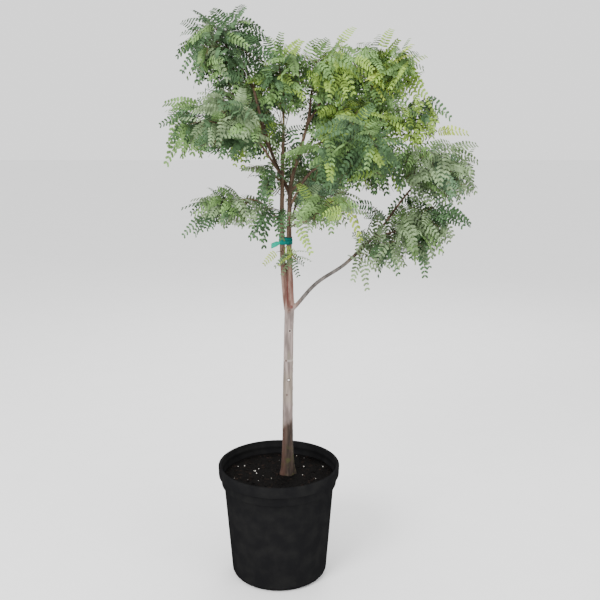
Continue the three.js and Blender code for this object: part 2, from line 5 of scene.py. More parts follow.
import bpy
import numpy as np
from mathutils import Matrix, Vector, noise


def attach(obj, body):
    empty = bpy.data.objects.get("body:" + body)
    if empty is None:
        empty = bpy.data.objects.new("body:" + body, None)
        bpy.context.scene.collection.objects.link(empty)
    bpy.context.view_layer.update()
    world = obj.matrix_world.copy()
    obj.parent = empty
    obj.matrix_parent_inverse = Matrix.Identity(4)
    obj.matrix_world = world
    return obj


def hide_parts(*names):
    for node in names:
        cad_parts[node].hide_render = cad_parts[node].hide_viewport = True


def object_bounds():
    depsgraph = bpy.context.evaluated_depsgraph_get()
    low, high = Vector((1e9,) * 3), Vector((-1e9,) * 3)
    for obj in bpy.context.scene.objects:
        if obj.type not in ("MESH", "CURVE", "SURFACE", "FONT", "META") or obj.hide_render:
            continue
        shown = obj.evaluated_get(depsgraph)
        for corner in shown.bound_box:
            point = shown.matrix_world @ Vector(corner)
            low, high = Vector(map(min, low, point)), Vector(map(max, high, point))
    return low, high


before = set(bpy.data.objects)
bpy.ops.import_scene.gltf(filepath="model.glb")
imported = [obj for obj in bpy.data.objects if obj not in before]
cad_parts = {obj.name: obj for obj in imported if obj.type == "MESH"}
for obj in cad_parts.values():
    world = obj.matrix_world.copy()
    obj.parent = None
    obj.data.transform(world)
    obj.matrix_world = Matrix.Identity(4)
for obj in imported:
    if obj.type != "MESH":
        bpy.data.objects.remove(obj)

CAD_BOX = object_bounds()
MM = 0.001
UP = np.array([0.0, 0.0, 1.0])
GOLDEN_ANGLE = 2.39996


def rows(names, table):
    """A table's rows as dicts under the columns' names. A row may end with a dict of what else it has."""
    names = names.split()
    return [{**dict(zip(names, row)), **(row[-1] if len(row) > len(names) else {})} for row in table]


# The camera: its place, how far it looks down and its lens
CAMERA = {"place": (62, -2462, 1424), "down": 13.5, "lens": 54, "sensor": 36}

# The lights and the floor, in metres
LIGHTS = rows("name place target size power", [
    ("key", (-1.8, -2.6, 3.0), (0, 0, 0.9), 1.8, 165),
    ("fill", (2.6, -2.2, 1.6), (0, 0, 0.9), 2.2, 50),
    ("back", (0.6, 2.8, 2.8), (0, 0, 1.1), 2.0, 60),
])
STAGE = {"size": 30, "drop": 0.0005, "sky": 1.5}

# The pot's outline, the surface of the soil in it, and the bits of bark and the grains on that
POT = {
    "rim": 177.5, "height": 341, "lip_height": 32, "lip_inner": 168, "lip_rounding": 3,
    "collar_height": 30, "collar": 168.5, "collar_slope": 3, "shoulder": 161,
    "foot": 141, "foot_rounding": 17, "wall": 4, "floor": 5, "sides": 128,
    "rib": ((0.6, 12), (2.4, 14), (2.6, 21), (1.4, 23)),
}
LIP_FOOT = POT["height"] - POT["lip_height"]
COLLAR_FOOT = LIP_FOOT - POT["collar_height"]
SOIL = {
    "edge": 303, "mound": 7, "flat": 40, "rings": 44, "sides": 120, "relief": 3.2, "gap": 0.6,
    "foot": 110, "waist": 250, "lumps": (34, 34, 1), "crumbs": (11, 11, 1),
}
SOIL_TOP = SOIL["edge"] + SOIL["mound"]
CHIPS = {
    "count": 900, "size": (3.5, 12), "height": 0.35, "margin": 9, "breadth": (0.3, 0.7), "thinnest": 0.8,
    "jitter": (0.6, 1.15), "tip": (-0.5, 0.5),
}
GRAINS = {"count": 30, "size": (1.0, 2.6), "margin": 6, "sides": 7}

# The trunk's foot and fork, and the size and relief of the bark's mesh
FOOT_X = 26
FOOT_CLEAR = 27
FORK_Z = 806
FLARE = {"radius": 8, "height": 34}
SWELL = {"radius": 1.2, "height": 50}
BARK = {"grid": 1.25, "sink": 5, "ring": 4, "sides": 20, "collar": 0.34, "collar_length": 9}
SMOOTHING = {"least": 0.12, "at_joints": 0.5, "rounds": 6, "reach": 1.7, "margin": 3}
RELIEF = {
    "ridge": (7, 7, 38), "ridge_height": 0.55, "fine": (2.6, 2.6, 9), "fine_height": 0.22, "on_boughs": 0.25,
    "above_fork": 60, "ribs": 5, "rib_height": 2.2, "rib_reach": 46, "scar_rim": 0.8, "scar_depth": 1.1,
}

# The bark's tones on its streaks: between which of the streaks' values, the dark colour and the light one
BARK_TONES = {
    "foot": ((0.35, 0.68), (36, 28, 23), (72, 59, 51)),
    "middle": ((0.3, 0.7), (92, 81, 77), (146, 132, 127)),
    "fork": ((0.35, 0.65), (84, 56, 48), (132, 108, 98)),
    "upper": ((0.3, 0.7), (58, 43, 34), (106, 86, 70)),
    "bough": ((0.3, 0.7), (64, 60, 57), (103, 98, 94)),
}

# In metres: the heights between which each tone gives way to the next, bands of another colour across the
# middle (height, half width, strength and colour), and the dark clefts at the fork
BARK_EDGES = ((0.452, 0.488), (0.79, 0.83), (0.86, 0.98))
BARK_BANDS = ((0.578, 0.03, 0.3, (112, 108, 86)), (0.658, 0.002, 0.35, (176, 168, 164)))
CLEFTS = {
    "places": (0.027, 0.04), "half": 0.0009, "band": (0.87, 0.03), "strength": 0.8, "colour": (84, 34, 30),
}

# The trunk's scars: their height, the way that they face and their size. Some have a shade: the colours
# of the ring and of the middle.
SCARS = rows("z turn size", [
    (746, -1.34, 3.2, {"shade": "bud"}),
    (815, -1.1, 3.8, {"shade": "knot"}),
    (658, -2.03, 2.4, {"shade": "dot"}),
    (601, -1.43, 3.4, {"shade": "scar"}),
    (556, -1.76, 2.2, {"shade": "dot"}),
    (651, -0.15, 2.4),
    (627, 0, 2.2),
    (572, -0.1, 2.4),
    (520, 0.2, 2.2),
    (480, 1.9, 2.2),
    (700, 2.6, 2.2),
    (588, 3.6, 2.0),
    (690, 1.3, 2.0),
])
SCAR_SHADES = {
    "bud": ((152, 141, 136), (44, 28, 26)),
    "dot": ((112, 98, 92), (78, 60, 54)),
    "knot": ((96, 62, 56), (66, 30, 28)),
    "scar": ((74, 62, 56), (206, 200, 194)),
}

# The tape that ties the leaders, with the height, width and looseness of its laps, and its tail
TIE = {
    "z": 1002, "thickness": 0.9, "clearance": 0.9, "laps": ((3.2, 13, 0.2), (-3.0, 12.5, 1.0)), "steps": 72,
    "tail": 26, "tail_height": 15, "tail_steps": 14,
}

# Leaves, the ranges from which each is drawn, their outline, and the ways to hold one that are tried in turn
LEAF = {
    "length": 102, "width": 41, "tip_turn": 0.25, "turn": (0.85, 1.15), "roll": (-1.1, 1.1),
    "hang": (0.4, 1.2), "scale": (0.84, 1.08), "sag": (0.08, 0.2), "droop_sag": 0.25, "lit_roll": 0.4,
}
OUTLINE = [(0, 0), (0.36, 1), (1, 0.62)]
MARK_ROWS = 8
MARK_PARTS = (-0.35, 0, 0.35)
LEAF_REACH = 150
LIGHT_SIDE = (0.05, -1, 0.3)
HOLDS = rows("turn hand lift size", [
    (1, 1, 0, 1), (0.6, 1, 0.1, 0.92), (1, -1, 0.15, 0.92), (1.5, 1, -0.6, 0.86), (1.4, -1, 0.5, 0.86),
    (2.2, 1, 0.2, 0.8), (0.2, -1, -0.3, 0.74), (0.9, 1, -1.2, 0.86), (1.3, -1, -1.5, 0.8),
    (1.8, 1, 0.9, 0.76), (2.6, -1, -0.5, 0.74),
])
LEAFLET = {
    "pairs": (7, 12), "pairs_at_full": 10.6, "length": 19.5, "width": 9, "fold": 0.5, "angle": (72, 50),
    "first": 0.1, "last": 0.965, "hangs": (0.12, 0.32, 0.52, 0.72), "lit_hangs": 2, "gap": 0.4,
    "angle_spread": (-6, 6), "hang_spread": (-0.16, 0.16), "middles": (0.35, -0.35),
}
RACHIS = {"end": 0.985, "rings": 4, "radii": (0.75, 0.35), "sides": 3}
LEAFLET_RIM = [(0, 0), (0.16, 0.46), (0.84, 0.46), (1, 0), (0.84, -0.46), (0.16, -0.42)]

# The leaves' tints, how far the patches on them are darker or lighter, the share of leaves that stray
# from their spray's tint, and the most triangles to a piece. The tints are partly the leaves' own greens
# and partly painted light: dark is painted shade, and bright and yellow are painted sunlight.
TINTS = {
    "dark": (66, 92, 60), "mid": (103, 134, 77), "bright": (131, 160, 70),
    "yellow": (154, 175, 72), "grey": (112, 132, 95), "blue": (88, 116, 86),
}
LEAF_SHADES = {"deep": 0.54, "light": 1.34, "lift": 0.004}
STRAY = 0.18
PIECE_LIMIT = 190000

# Every curve's handles, the places of a twig's leaves, and the twigs' meshes
ARC = {"handle": 0.35, "points": 201}
TIP_SHARE = 0.98
RANK_SHIFT = 0.45
TWIG = {"ring": 16, "sink": 4, "sides": 5, "stem_sides": 7}

# The stem of a mass, its main shoots, its finer twigs, and the leaves between them
STEM = {"foot": 3, "tip": 1.5, "fit": 0.95, "first": 0.97, "last": 0.08}
SHOOT = {
    "foot": 1.5, "tip": 0.8, "least": 34, "reserve": 0.8, "foot_tilt": 1.9, "tip_tilt": 0.6,
    "tilt_spread": (-0.15, 0.15), "hang": 0.5,
}
MAIN = {"spacing": 34, "apart": 20, "clearance": 7.5, "slack": 0, "droop": 0, "size": 1, "holds": 7}
FINE = {
    "spacing": 24, "apart": 12.6, "clearance": 3, "slack": 26, "droop": 0.15, "size": 0.9, "holds": 11,
    "twig_spacing": 28, "twig_length": (30, 96), "lean": (0.3, 0.9), "reserve": 0.32, "least": 14,
    "foot": 1.0, "tip": 0.6, "facing": 0.6, "breadth": 0.6,
}
FINEST = {
    **FINE, "apart": 13, "slack": 28, "droop": 0.25, "size": 0.86, "twig_spacing": 34,
    "twig_length": (20, 60), "lean": (0.4, 1.0), "reserve": 0.24, "least": 12, "foot": 0.8, "tip": 0.5,
}
BETWEEN = {**FINE, "spacing": 20, "apart": 11.8, "slack": 30, "droop": 0.3, "size": 0.82}
SPRIG = {
    "apart": 7, "clearance": 2, "free": True, "slack": 0, "size": 0.72, "holds": 7, "foot": 1.3, "tip": 0.7,
    "spacing": 13, "facing": 1, "breadth": 0.4, "rise": 12, "fall": 8, "first": 0.1,
}
LIMB_TWIGS = {"spacing": 24, "bare": 0.14, "lean": (0.3, 0.9), "level": (0, 1, 0.01), "depth": 0.5}

# How far round a mass's size the limbs and the other leaves are minded, how close the points along a limb
# are, the gap between two spaces, and the box that everything stays in
NEAR = {"limbs": 40, "leaves": 20}
PROBE_SPACING = 6
SPACE_MARGIN = 1
REACH_LOW = np.array(CAD_BOX[0]) / MM + 2
REACH_HIGH = np.array(CAD_BOX[1]) / MM - 2

# The limbs: each starts on a limb, at a part of its length, leaves one way and arrives at its tip another.
# Its radii are those at foot and tip.
LIMBS = rows("name on at leave tip arrive radii", [
    ("trunk", None, None, (0, 0, 1), (32, 0, FORK_Z), (0.03, 0, 1), (16.2, 12.8),
     {"foot": (FOOT_X, 0, SOIL_TOP + 0.3)}),
    ("leader_left", "trunk", 1, (-0.12, 0, 1), (18, 0, 1303), (0.03, 0, 1), (9.6, 3.8),
     {"shift": (-6, 0, 0), "bare": 0.5}),
    ("leader_right", "trunk", 1, (-0.04, 0, 1), (36, 0, 1150), (0.07, 0, 1), (9.4, 5.8),
     {"shift": (6, 0, 0), "bare": 0.7}),
    ("bough_low_right", "trunk", 0.985, (1, -0.05, 0.93), (279, 0, 1027), (0.67, 0, 0.74), (5.8, 4.3),
     {"bare": 0.62, "bow": {"first": 0.02, "last": 0.64, "by": (-7, 0, 9)}}),
    ("bough_right", "bough_low_right", 1, (0.6, 0, 0.8), (373, -6, 1156), (0.64, -0.05, 0.76), (3.6, 2.7),
     {"bare": 0.1}),
    ("bough_right_low", "bough_low_right", 0.93, (1, -0.3, 0.35), (330, -28, 1034), (1, -0.2, 0.3),
     (3.2, 2.5), {"bare": 0.1}),
    ("bough_upright", "leader_right", 1, (0.16, 0, 1), (90, 0, 1384), (0.02, 0, 1), (5.4, 3.4)),
    ("bough_left", "leader_right", 0.95, (-0.62, 0.62, 1), (-62, 8, 1414), (-0.22, 0, 1), (5.4, 3.6)),
    ("bough_top_right", "bough_upright", 0.72, (0.6, 0.1, 1), (172, 6, 1436), (0.8, 0, 0.6), (3.4, 2.6)),
    ("bough_side_left", "bough_left", 0.56, (-1, -0.3, 0.35), (-112, -14, 1318), (-1, 0, 0.1),
     (3.4, 2.6)),
    ("bough_low_left", "leader_left", 0.5, (-1, -0.15, 0.7), (-60, -12, 1116), (-1, 0, 0.35), (3.6, 2.7)),
    ("bough_centre", "leader_right", 0.97, (1, -0.35, 0.75), (150, -22, 1236), (1, -0.1, 0.5), (4, 2.9)),
    ("bough_shoulder", "bough_upright", 0.4, (1, 0.4, 0.4), (284, 36, 1326), (1, -0.05, 0.15), (4, 2.7)),
    ("bough_centre_low", "leader_right", 0.72, (1, 0.3, 0.5), (84, 14, 1088), (1, 0, 0.4), (3.2, 2.5)),
    ("bough_front_left", "leader_left", 0.76, (-0.5, -1, 0.5), (-56, -112, 1284), (-0.6, -1, 0.4),
     (3.6, 2.6)),
    ("bough_back_left", "bough_left", 0.42, (-0.5, 1, 0.5), (-66, 118, 1340), (-0.5, 1, 0.5), (3.4, 2.6)),
    ("bough_front_right", "leader_right", 0.84, (0.3, -1, 0.6), (112, -118, 1216), (0.8, -0.8, 0.5),
     (3.8, 2.6)),
    ("bough_back_right", "bough_upright", 0.3, (0.4, 1, 0.5), (140, 118, 1306), (0.7, 0.8, 0.4),
     (3.6, 2.6)),
    ("bough_back_low", "leader_right", 0.66, (0.2, 1, 0.5), (76, 118, 1136), (0.5, 1, 0.4), (3.4, 2.5)),
    ("bough_front_low", "leader_right", 0.67, (0.4, -1, 0.5), (92, -110, 1078), (0.6, -1, 0.4),
     (3.2, 2.4)),
])

# The masses of foliage: the limb each grows on and where, the middle and half sizes of its space, the
# point that its stem reaches, its shoots, how far they hang, and the tints of its sprays. The tints carry
# painted light: the upper masses right of the middle lean to the bright and yellow tints as painted
# sunlight, and the masses to the left and low down lean to the dark tint as painted shade.
MASSES = rows("name on at centre half reach shoots droop tints", [
    ("mass_top_left", "bough_left", 1, (-146, -5, 1522), (130, 126, 134), (-164, -4, 1580), 24, 0.4,
     "dark dark mid grey", {"airy": 1.1}),
    ("mass_left", "bough_side_left", 1, (-212, -16, 1318), (116, 122, 98), (-244, -22, 1326), 22, 0.5,
     "dark mid dark mid", {"airy": 1.32}),
    ("mass_left_inner", "bough_left", 0.6, (-58, 12, 1320), (120, 124, 128), (-84, -40, 1390), 26, 0.5,
     "dark mid dark bright"),
    ("mass_low_left", "bough_low_left", 1, (-134, -14, 1098), (132, 116, 72), (-176, -18, 1112), 20, 0.6,
     "grey grey dark mid"),
    ("mass_top_centre", "leader_left", 1, (20, -4, 1440), (120, 124, 112), (6, -16, 1476), 30, 0.35,
     "mid bright mid dark", {"airy": 0.9}),
    ("mass_top", "bough_upright", 1, (140, 6, 1446), (116, 124, 104), (126, 14, 1490), 30, 0.35,
     "bright mid bright mid", {"airy": 0.92}),
    ("mass_top_right", "bough_top_right", 1, (280, 0, 1466), (126, 126, 102), (336, -4, 1486), 26, 0.25,
     "bright yellow bright mid", {"airy": 0.88}),
    ("mass_shoulder", "bough_shoulder", 1, (364, 14, 1324), (104, 116, 84), (418, 6, 1362), 20, 0.45,
     "dark mid bright mid", {"airy": 1.12}),
    ("mass_centre_right", "bough_centre", 0.8, (190, -14, 1322), (124, 116, 104), (216, -36, 1356), 18,
     0.4, "mid bright yellow mid"),
    ("mass_centre", "bough_centre", 1, (262, -8, 1218), (124, 118, 98), (312, -14, 1238), 26, 0.55,
     "mid bright mid dark"),
    ("mass_low_centre", "bough_centre_low", 1, (134, 6, 1124), (134, 118, 88), (178, 10, 1138), 26, 0.6,
     "grey mid grey blue", {"airy": 1.12}),
    ("mass_right", "bough_right", 1, (440, -8, 1200), (138, 124, 108), (502, -12, 1212), 28, 0.45,
     "grey grey mid blue"),
    ("mass_low_right", "bough_right_low", 1, (360, -22, 1040), (130, 120, 104), (420, -28, 1062), 30, 0.5,
     "grey dark mid grey"),
    ("mass_under_right", "bough_low_right", 0.82, (292, -24, 1000), (100, 108, 96), (316, -60, 1010), 16,
     0.5, "grey dark"),
    ("mass_fork", "leader_right", 0.5, (26, -40, 956), (74, 78, 52), (56, -70, 962), 12, 0.6,
     "grey yellow", {"leaf_size": 0.72, "open": True}),
    ("mass_middle", "leader_left", 0.72, (-20, -26, 1194), (90, 110, 102), (-42, -52, 1210), 18, 0.6,
     "dark mid dark grey"),
    ("mass_front_left", "bough_front_left", 1, (-104, -184, 1342), (146, 124, 106), (-168, -214, 1336),
     18, 0.4, "mid dark grey dark"),
    ("mass_back_left", "bough_back_left", 1, (-96, 192, 1376), (150, 128, 128), (-156, 226, 1412), 17,
     0.4, "dark mid grey mid"),
    ("mass_front_right", "bough_front_right", 1, (184, -188, 1274), (160, 126, 114), (252, -220, 1292),
     18, 0.4, "mid bright mid dark"),
    ("mass_back_right", "bough_back_right", 1, (208, 194, 1346), (164, 130, 134), (280, 230, 1382), 16,
     0.4, "mid bright dark mid"),
    ("mass_back_low", "bough_back_low", 1, (104, 186, 1168), (130, 118, 96), (134, 212, 1186), 20, 0.5,
     "mid grey dark"),
    ("mass_front_low", "bough_front_low", 1, (124, -172, 1126), (118, 112, 76), (146, -192, 1136), 18,
     0.6, "mid grey bright"),
])

# Where the sky shows between the masses: x, z and radius at the trunk's depth, as the camera sees them
VOIDS = [
    (-69, 1201, 15), (-69, 1160, 16), (240, 1123, 20), (226, 1056, 22), (-283, 1536, 18), (-314, 1316, 15),
    (-231, 1439, 13), (-130, 1398, 13), (-212, 1335, 12), (-6, 1348, 12), (95, 1408, 10), (-170, 1028, 18),
    (-124, 1022, 18), (-262, 1030, 18), (300, 1146, 14), (44, 1330, 14),
]

# The limbs that show through the foliage, each from one share of its length to another
BARED = [
    ("leader_left", 0.4, 1), ("leader_right", 0.55, 1), ("bough_left", 0, 1), ("bough_upright", 0, 0.95),
    ("bough_low_right", 0.6, 1), ("bough_right", 0, 0.75),
]
BARED_SPACING = 9
BARED_MARGIN = 3

# Single sprigs: the mass that each belongs to, the limb it grows on and where, its tip, how far its leaves
# hang, their number and their tint, where dark is painted shade and bright and yellow are painted sunlight
SPRIGS = rows("mass on at tip hang leaves tint", [
    ("mass_fork", "leader_left", 0.33, (-4, -24, 974), 0.3, 1, "yellow",
     {"arrive": (-1, -0.1, -0.3), "size": 0.66}),
    ("mass_fork", "leader_left", 0.34, (18, -26, 982), 0.1, 1, "bright",
     {"arrive": (1, -0.1, -0.1), "size": 0.6}),
    ("mass_fork", "leader_right", 0.44, (40, -30, 958), 0.5, 9, "dark",
     {"arrive": (0.6, -0.2, -1), "size": 0.62}),
    ("mass_low_centre", "leader_right", 0.68, (56, -24, 1042), 0.3, 1, "bright",
     {"arrive": (0.6, -0.1, -0.8), "size": 0.66}),
    ("mass_low_centre", "leader_right", 0.76, (62, -20, 1076), 0.8, 2, "grey",
     {"arrive": (0.3, -0.1, -0.9), "size": 0.6}),
    ("mass_under_right", "bough_low_right", 0.74, (234, -24, 952), 0.8, 3, "grey",
     {"arrive": (0.2, -0.2, -0.9), "size": 0.62}),
    ("mass_left", "bough_side_left", 1, (-244, -34, 1344), 0.1, 4, "dark",
     {"arrive": (-1, -0.1, -0.1), "size": 0.74}),
    ("mass_left", "bough_side_left", 0.96, (-248, -44, 1306), 0.7, 5, "mid",
     {"arrive": (-0.8, -0.1, -0.6), "size": 0.8}),
    ("mass_top_left", "leader_left", 0.98, (-16, -10, 1506), 0.5, 8, "dark"),
    ("mass_low_centre", "bough_centre_low", 1, (186, -36, 1112), 1.6, 1, "yellow"),
    ("mass_low_left", "leader_left", 0.56, (-26, -26, 1096), 1.2, 5, "dark"),
    ("mass_low_left", "bough_low_left", 0.3, (-30, 20, 1084), 1.0, 5, "dark", {"arrive": (-0.1, 0, -1)}),
    ("mass_middle", "leader_left", 0.84, (52, -24, 1262), 0.6, 5, "mid"),
    ("mass_middle", "leader_right", 0.99, (34, 24, 1262), 0.6, 4, "dark"),
    ("mass_under_right", "bough_right", 0.24, (262, -12, 1098), 0.3, 6, "dark"),
    ("mass_under_right", "bough_low_right", 0.62, (216, -12, 968), 0.1, 2, "grey"),
    ("mass_under_right", "bough_low_right", 0.78, (246, -12, 1008), 0.1, 3, "grey"),
    ("mass_right", "bough_right", 0.9, (386, -26, 1256), 0.6, 7, "mid"),
    ("mass_shoulder", "bough_right", 1, (444, -18, 1304), 0.1, 2, "yellow",
     {"arrive": (1, 0, 0.05), "size": 0.7}),
    ("mass_shoulder", "bough_shoulder", 0.98, (402, -8, 1388), 0.8, 7, "dark"),
    ("mass_low_right", "bough_right_low", 1, (478, -26, 1092), 0.25, 8, "dark"),
    ("mass_top_left", "bough_left", 0.98, (-172, -14, 1560), 0.05, 6, "grey",
     {"arrive": (0.15, 0, 1), "size": 0.68}),
    ("mass_top_left", "bough_left", 0.96, (-60, -16, 1528), 0.8, 7, "dark"),
    ("mass_top_centre", "leader_left", 0.98, (78, -10, 1504), 0.4, 6, "mid"),
    ("mass_top", "bough_upright", 1, (166, 0, 1532), 0.4, 6, "bright"),
    ("mass_top_left", "leader_left", 0.99, (-46, -30, 1496), 0.4, 6, "dark"),
    ("mass_top_centre", "leader_left", 1, (4, -20, 1500), 0.2, 6, "mid"),
    ("mass_top", "bough_upright", 0.98, (96, -24, 1484), 0.3, 7, "mid"),
    ("mass_top_right", "bough_top_right", 1, (352, -16, 1436), 0.5, 6, "bright",
     {"arrive": (1, 0, -0.2)}),
    ("mass_top_right", "bough_top_right", 0.98, (318, -12, 1410), 0.5, 6, "mid",
     {"arrive": (1, 0, -0.3)}),
    ("mass_middle", "leader_left", 0.92, (38, -24, 1308), 0.5, 4, "dark",
     {"arrive": (0.3, -0.1, -0.8), "size": 0.62}),
    ("mass_right", "bough_right", 0.98, (352, -30, 1264), 0.5, 6, "mid", {"arrive": (-1, 0, -0.1)}),
    ("mass_right", "bough_right", 1, (478, -24, 1200), 0.1, 5, "grey",
     {"arrive": (1, 0, -0.05), "size": 0.66}),
    ("mass_low_right", "bough_right_low", 1, (462, -30, 1100), 0.3, 6, "dark",
     {"arrive": (1, 0, -0.35), "size": 0.78}),
    ("mass_low_right", "bough_right_low", 1, (396, -20, 990), 0.6, 5, "dark", {"arrive": (0.3, 0, -1)}),
    ("mass_low_left", "bough_low_left", 1, (-206, -24, 1072), 0.4, 5, "dark", {"arrive": (-1, 0, -0.5)}),
])

# Plain materials: roughness and sheen, the noise that parts a dark colour from a light one, between which
# of its values, those colours, and the noise, strength and depth of the bumps
PLAIN = {row["name"]: row for row in rows("name roughness specular noise ends dark light bumps depth", [
    ("twig_bark", 0.7, 0.3, (120, 3, (1, 1, 0.5)), (0.35, 0.65), (62, 44, 34), (92, 80, 48),
     (700, 2), (0.3, 0.0004)),
    ("pot_plastic", 0.85, 0, (26, 5), (0.35, 0.75), (22, 22, 23), (28, 28, 28), (800, 3), (0.18, 0.0004)),
    ("potting_soil", 0.95, 0.03, (240, 5), (0.35, 0.7), (8, 8, 8), (20, 18, 17), (240, 5), (0.9, 0.002)),
    ("soil_chips", 0.9, 0.03, (70, 3), (0.42, 0.68), (12, 11, 11), (38, 30, 26), (500, 3), (0.5, 0.0008)),
    ("soil_grains", 0.85, 0.3, (300, 3), None, (150, 144, 134), (228, 226, 220), (1200, 3), (0.5, 0.0005)),
    ("floor_paper", 0.9, 0.1, (8, 2), None, (243, 243, 243), (247, 247, 247), None, None),
])}


# Vectors and the seeded draw

def vec(values):
    return np.array(values, float)


def unit(v):
    return v / np.linalg.norm(v)


def lerp(low, high, share):
    return low + (high - low) * share


def cross(a, b):
    """The cross product of two single vectors."""
    return np.array([a[1] * b[2] - a[2] * b[1], a[2] * b[0] - a[0] * b[2], a[0] * b[1] - a[1] * b[0]])


def turned(v, axis, angle):
    """v turned about a unit axis."""
    along = axis * np.dot(axis, v)
    return along + (v - along) * math.cos(angle) + cross(axis, v) * math.sin(angle)


def chance(a, b):
    """An even random number from 0 to 1, the same each run, for two whole numbers."""
    full = 0xFFFFFFFF
    h = ((a + 1) * 0x9E3779B1 & full) ^ ((b + 1) * 0x85EBCA6B & full)
    h = (h ^ (h >> 15)) * 0x2C1B3C6D & full
    h = (h ^ (h >> 12)) * 0x297A2D39 & full
    return (h ^ (h >> 15)) / 4294967296


def draw(span, a, b):
    return lerp(span[0], span[1], chance(a, b))


class Arc:
    """A cubic curve that leaves one point and arrives at another, measured along its length."""

    def __init__(self, foot, leave, tip, arrive, bow=None):
        self.bow = bow
        handle = ARC["handle"] * np.linalg.norm(tip - foot)
        self.points = [foot, foot + unit(leave) * handle, tip - unit(arrive) * handle, tip]
        self.shares = np.linspace(0, 1, ARC["points"])
        chords = np.linalg.norm(np.diff(self.point(self.shares), axis=0), axis=1)
        self.lengths = np.concatenate([[0], np.cumsum(chords)])
        self.length = self.lengths[-1]

    def point(self, t):
        t = np.asarray(t, float)[..., None]
        a, b, c, d = self.points
        return (1 - t) ** 3 * a + 3 * (1 - t) ** 2 * t * b + 3 * (1 - t) * t ** 2 * c + t ** 3 * d

    def param(self, share):
        return np.interp(np.asarray(share) * self.length, self.lengths, self.shares)

    def at(self, share):
        place = self.point(self.param(share))
        if self.bow is None:
            return place
        first, last = self.bow["first"], self.bow["last"]
        turn = np.clip((np.asarray(share, float) - first) / (last - first), 0, 1)
        return place + np.sin(math.pi * turn)[..., None] ** 2 * vec(self.bow["by"])

    def steps(self, spacing, first=0, last=1):
        """Even shares of the length from one to another, about a spacing apart."""
        return np.linspace(first, last, math.ceil(self.length * (last - first) / spacing) + 1)

    def way(self, share):
        t = self.param(share)
        a, b, c, d = self.points
        return unit((1 - t) ** 2 * (b - a) + 2 * (1 - t) * t * (c - b) + t ** 2 * (d - c))


# Meshes

class Bundle:
    """Points and faces that are gathered into one mesh."""

    def __init__(self):
        self.points = []
        self.faces = []
        self.count = 0
        self.triangles = 0

    def add(self, points, *groups):
        self.points.append(np.asarray(points, float))
        for faces in groups:
            faces = np.asarray(faces)
            self.faces.append(faces + self.count)
            self.triangles += len(faces) * (faces.shape[1] - 2)
        self.count += len(points)

    def mesh(self, name):
        mesh = bpy.data.meshes.new(name)
        corners = np.concatenate([faces.ravel() for faces in self.faces])
        sizes = np.concatenate([np.full(len(faces), faces.shape[1]) for faces in self.faces])
        starts = np.concatenate([[0], np.cumsum(sizes)[:-1]])
        mesh.vertices.add(self.count)
        mesh.vertices.foreach_set("co", (np.concatenate(self.points) * MM).ravel())
        mesh.loops.add(len(corners))
        mesh.loops.foreach_set("vertex_index", corners.astype(np.int32))
        mesh.polygons.add(len(sizes))
        mesh.polygons.foreach_set("loop_start", starts.astype(np.int32))
        mesh.update(calc_edges=True)
        return mesh


def placed(name, data):
    """A new object in the scene."""
    made = bpy.data.objects.new(name, data)
    bpy.context.scene.collection.objects.link(made)
    return made


def piece(name, mesh, material, smooth=True):
    """A mesh as a piece of the tree, which rides on its one body."""
    made = placed(name, mesh)
    mesh.materials.append(material)
    if smooth:
        mesh.shade_smooth()
    else:
        mesh.shade_flat()
    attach(made, "root")
    return made


def ring_faces(rings, sides):
    """The walls between rings of points, and the caps to a middle point at each end, which follow them."""
    ring = np.arange(sides)
    after = (ring + 1) % sides
    starts = np.arange(rings - 1)[:, None] * sides
    walls = np.stack([starts + ring, starts + after, starts + after + sides, starts + ring + sides], axis=-1)
    middle = np.full(sides, rings * sides)
    last = (rings - 1) * sides
    low_cap = np.stack([middle, after, ring], axis=1)
    high_cap = np.stack([middle + 1, last + ring, last + after], axis=1)
    return walls.reshape(-1, 4), np.concatenate([low_cap, high_cap])


def tube(path, radii, sides):
    """A closed round tube: its points along a path, its walls and its caps."""
    path = np.asarray(path, float)
    ways = np.gradient(path, axis=0)
    ways /= np.linalg.norm(ways, axis=1)[:, None]
    side = unit(cross(ways[0], UP if abs(ways[0][2]) < 0.9 else (1, 0, 0)))
    angles = np.arange(sides) * 2 * math.pi / sides
    rings = []
    for centre, way, radius in zip(path, ways, radii):
        side = unit(side - way * np.dot(side, way))
        other = cross(way, side)
        rings.append(centre + radius * (np.outer(np.cos(angles), side) + np.outer(np.sin(angles), other)))
    return np.concatenate(rings + [path[:1], path[-1:]]), *ring_faces(len(path), sides)


def lathe(outline, sides):
    """A ring of a closed outline turned round the upright axis. Its first and last points lie on it."""
    angles = np.arange(sides) * 2 * math.pi / sides
    rings = [
        np.stack([r * np.cos(angles), r * np.sin(angles), np.full(sides, z)], axis=1)
        for r, z in outline[1:-1]
    ]
    ends = [[(0, 0, outline[0][1])], [(0, 0, outline[-1][1])]]
    bundle = Bundle()
    bundle.add(np.concatenate(rings + ends), *ring_faces(len(rings), sides))
    return bundle


def grain(points, size, seed):
    """Smooth random heights from -1 to 1 at points, for grain of a given size along each axis."""
    return np.array([noise.noise(Vector(p)) for p in np.asarray(points) / vec(size) + seed])


# Materials

def linear(colour):
    """A colour given from 0 to 255 as the light that a shader wants."""
    shares = [c / 255 for c in colour]
    return tuple(s / 12.92 if s <= 0.04045 else ((s + 0.055) / 1.055) ** 2.4 for s in shares) + (1,)


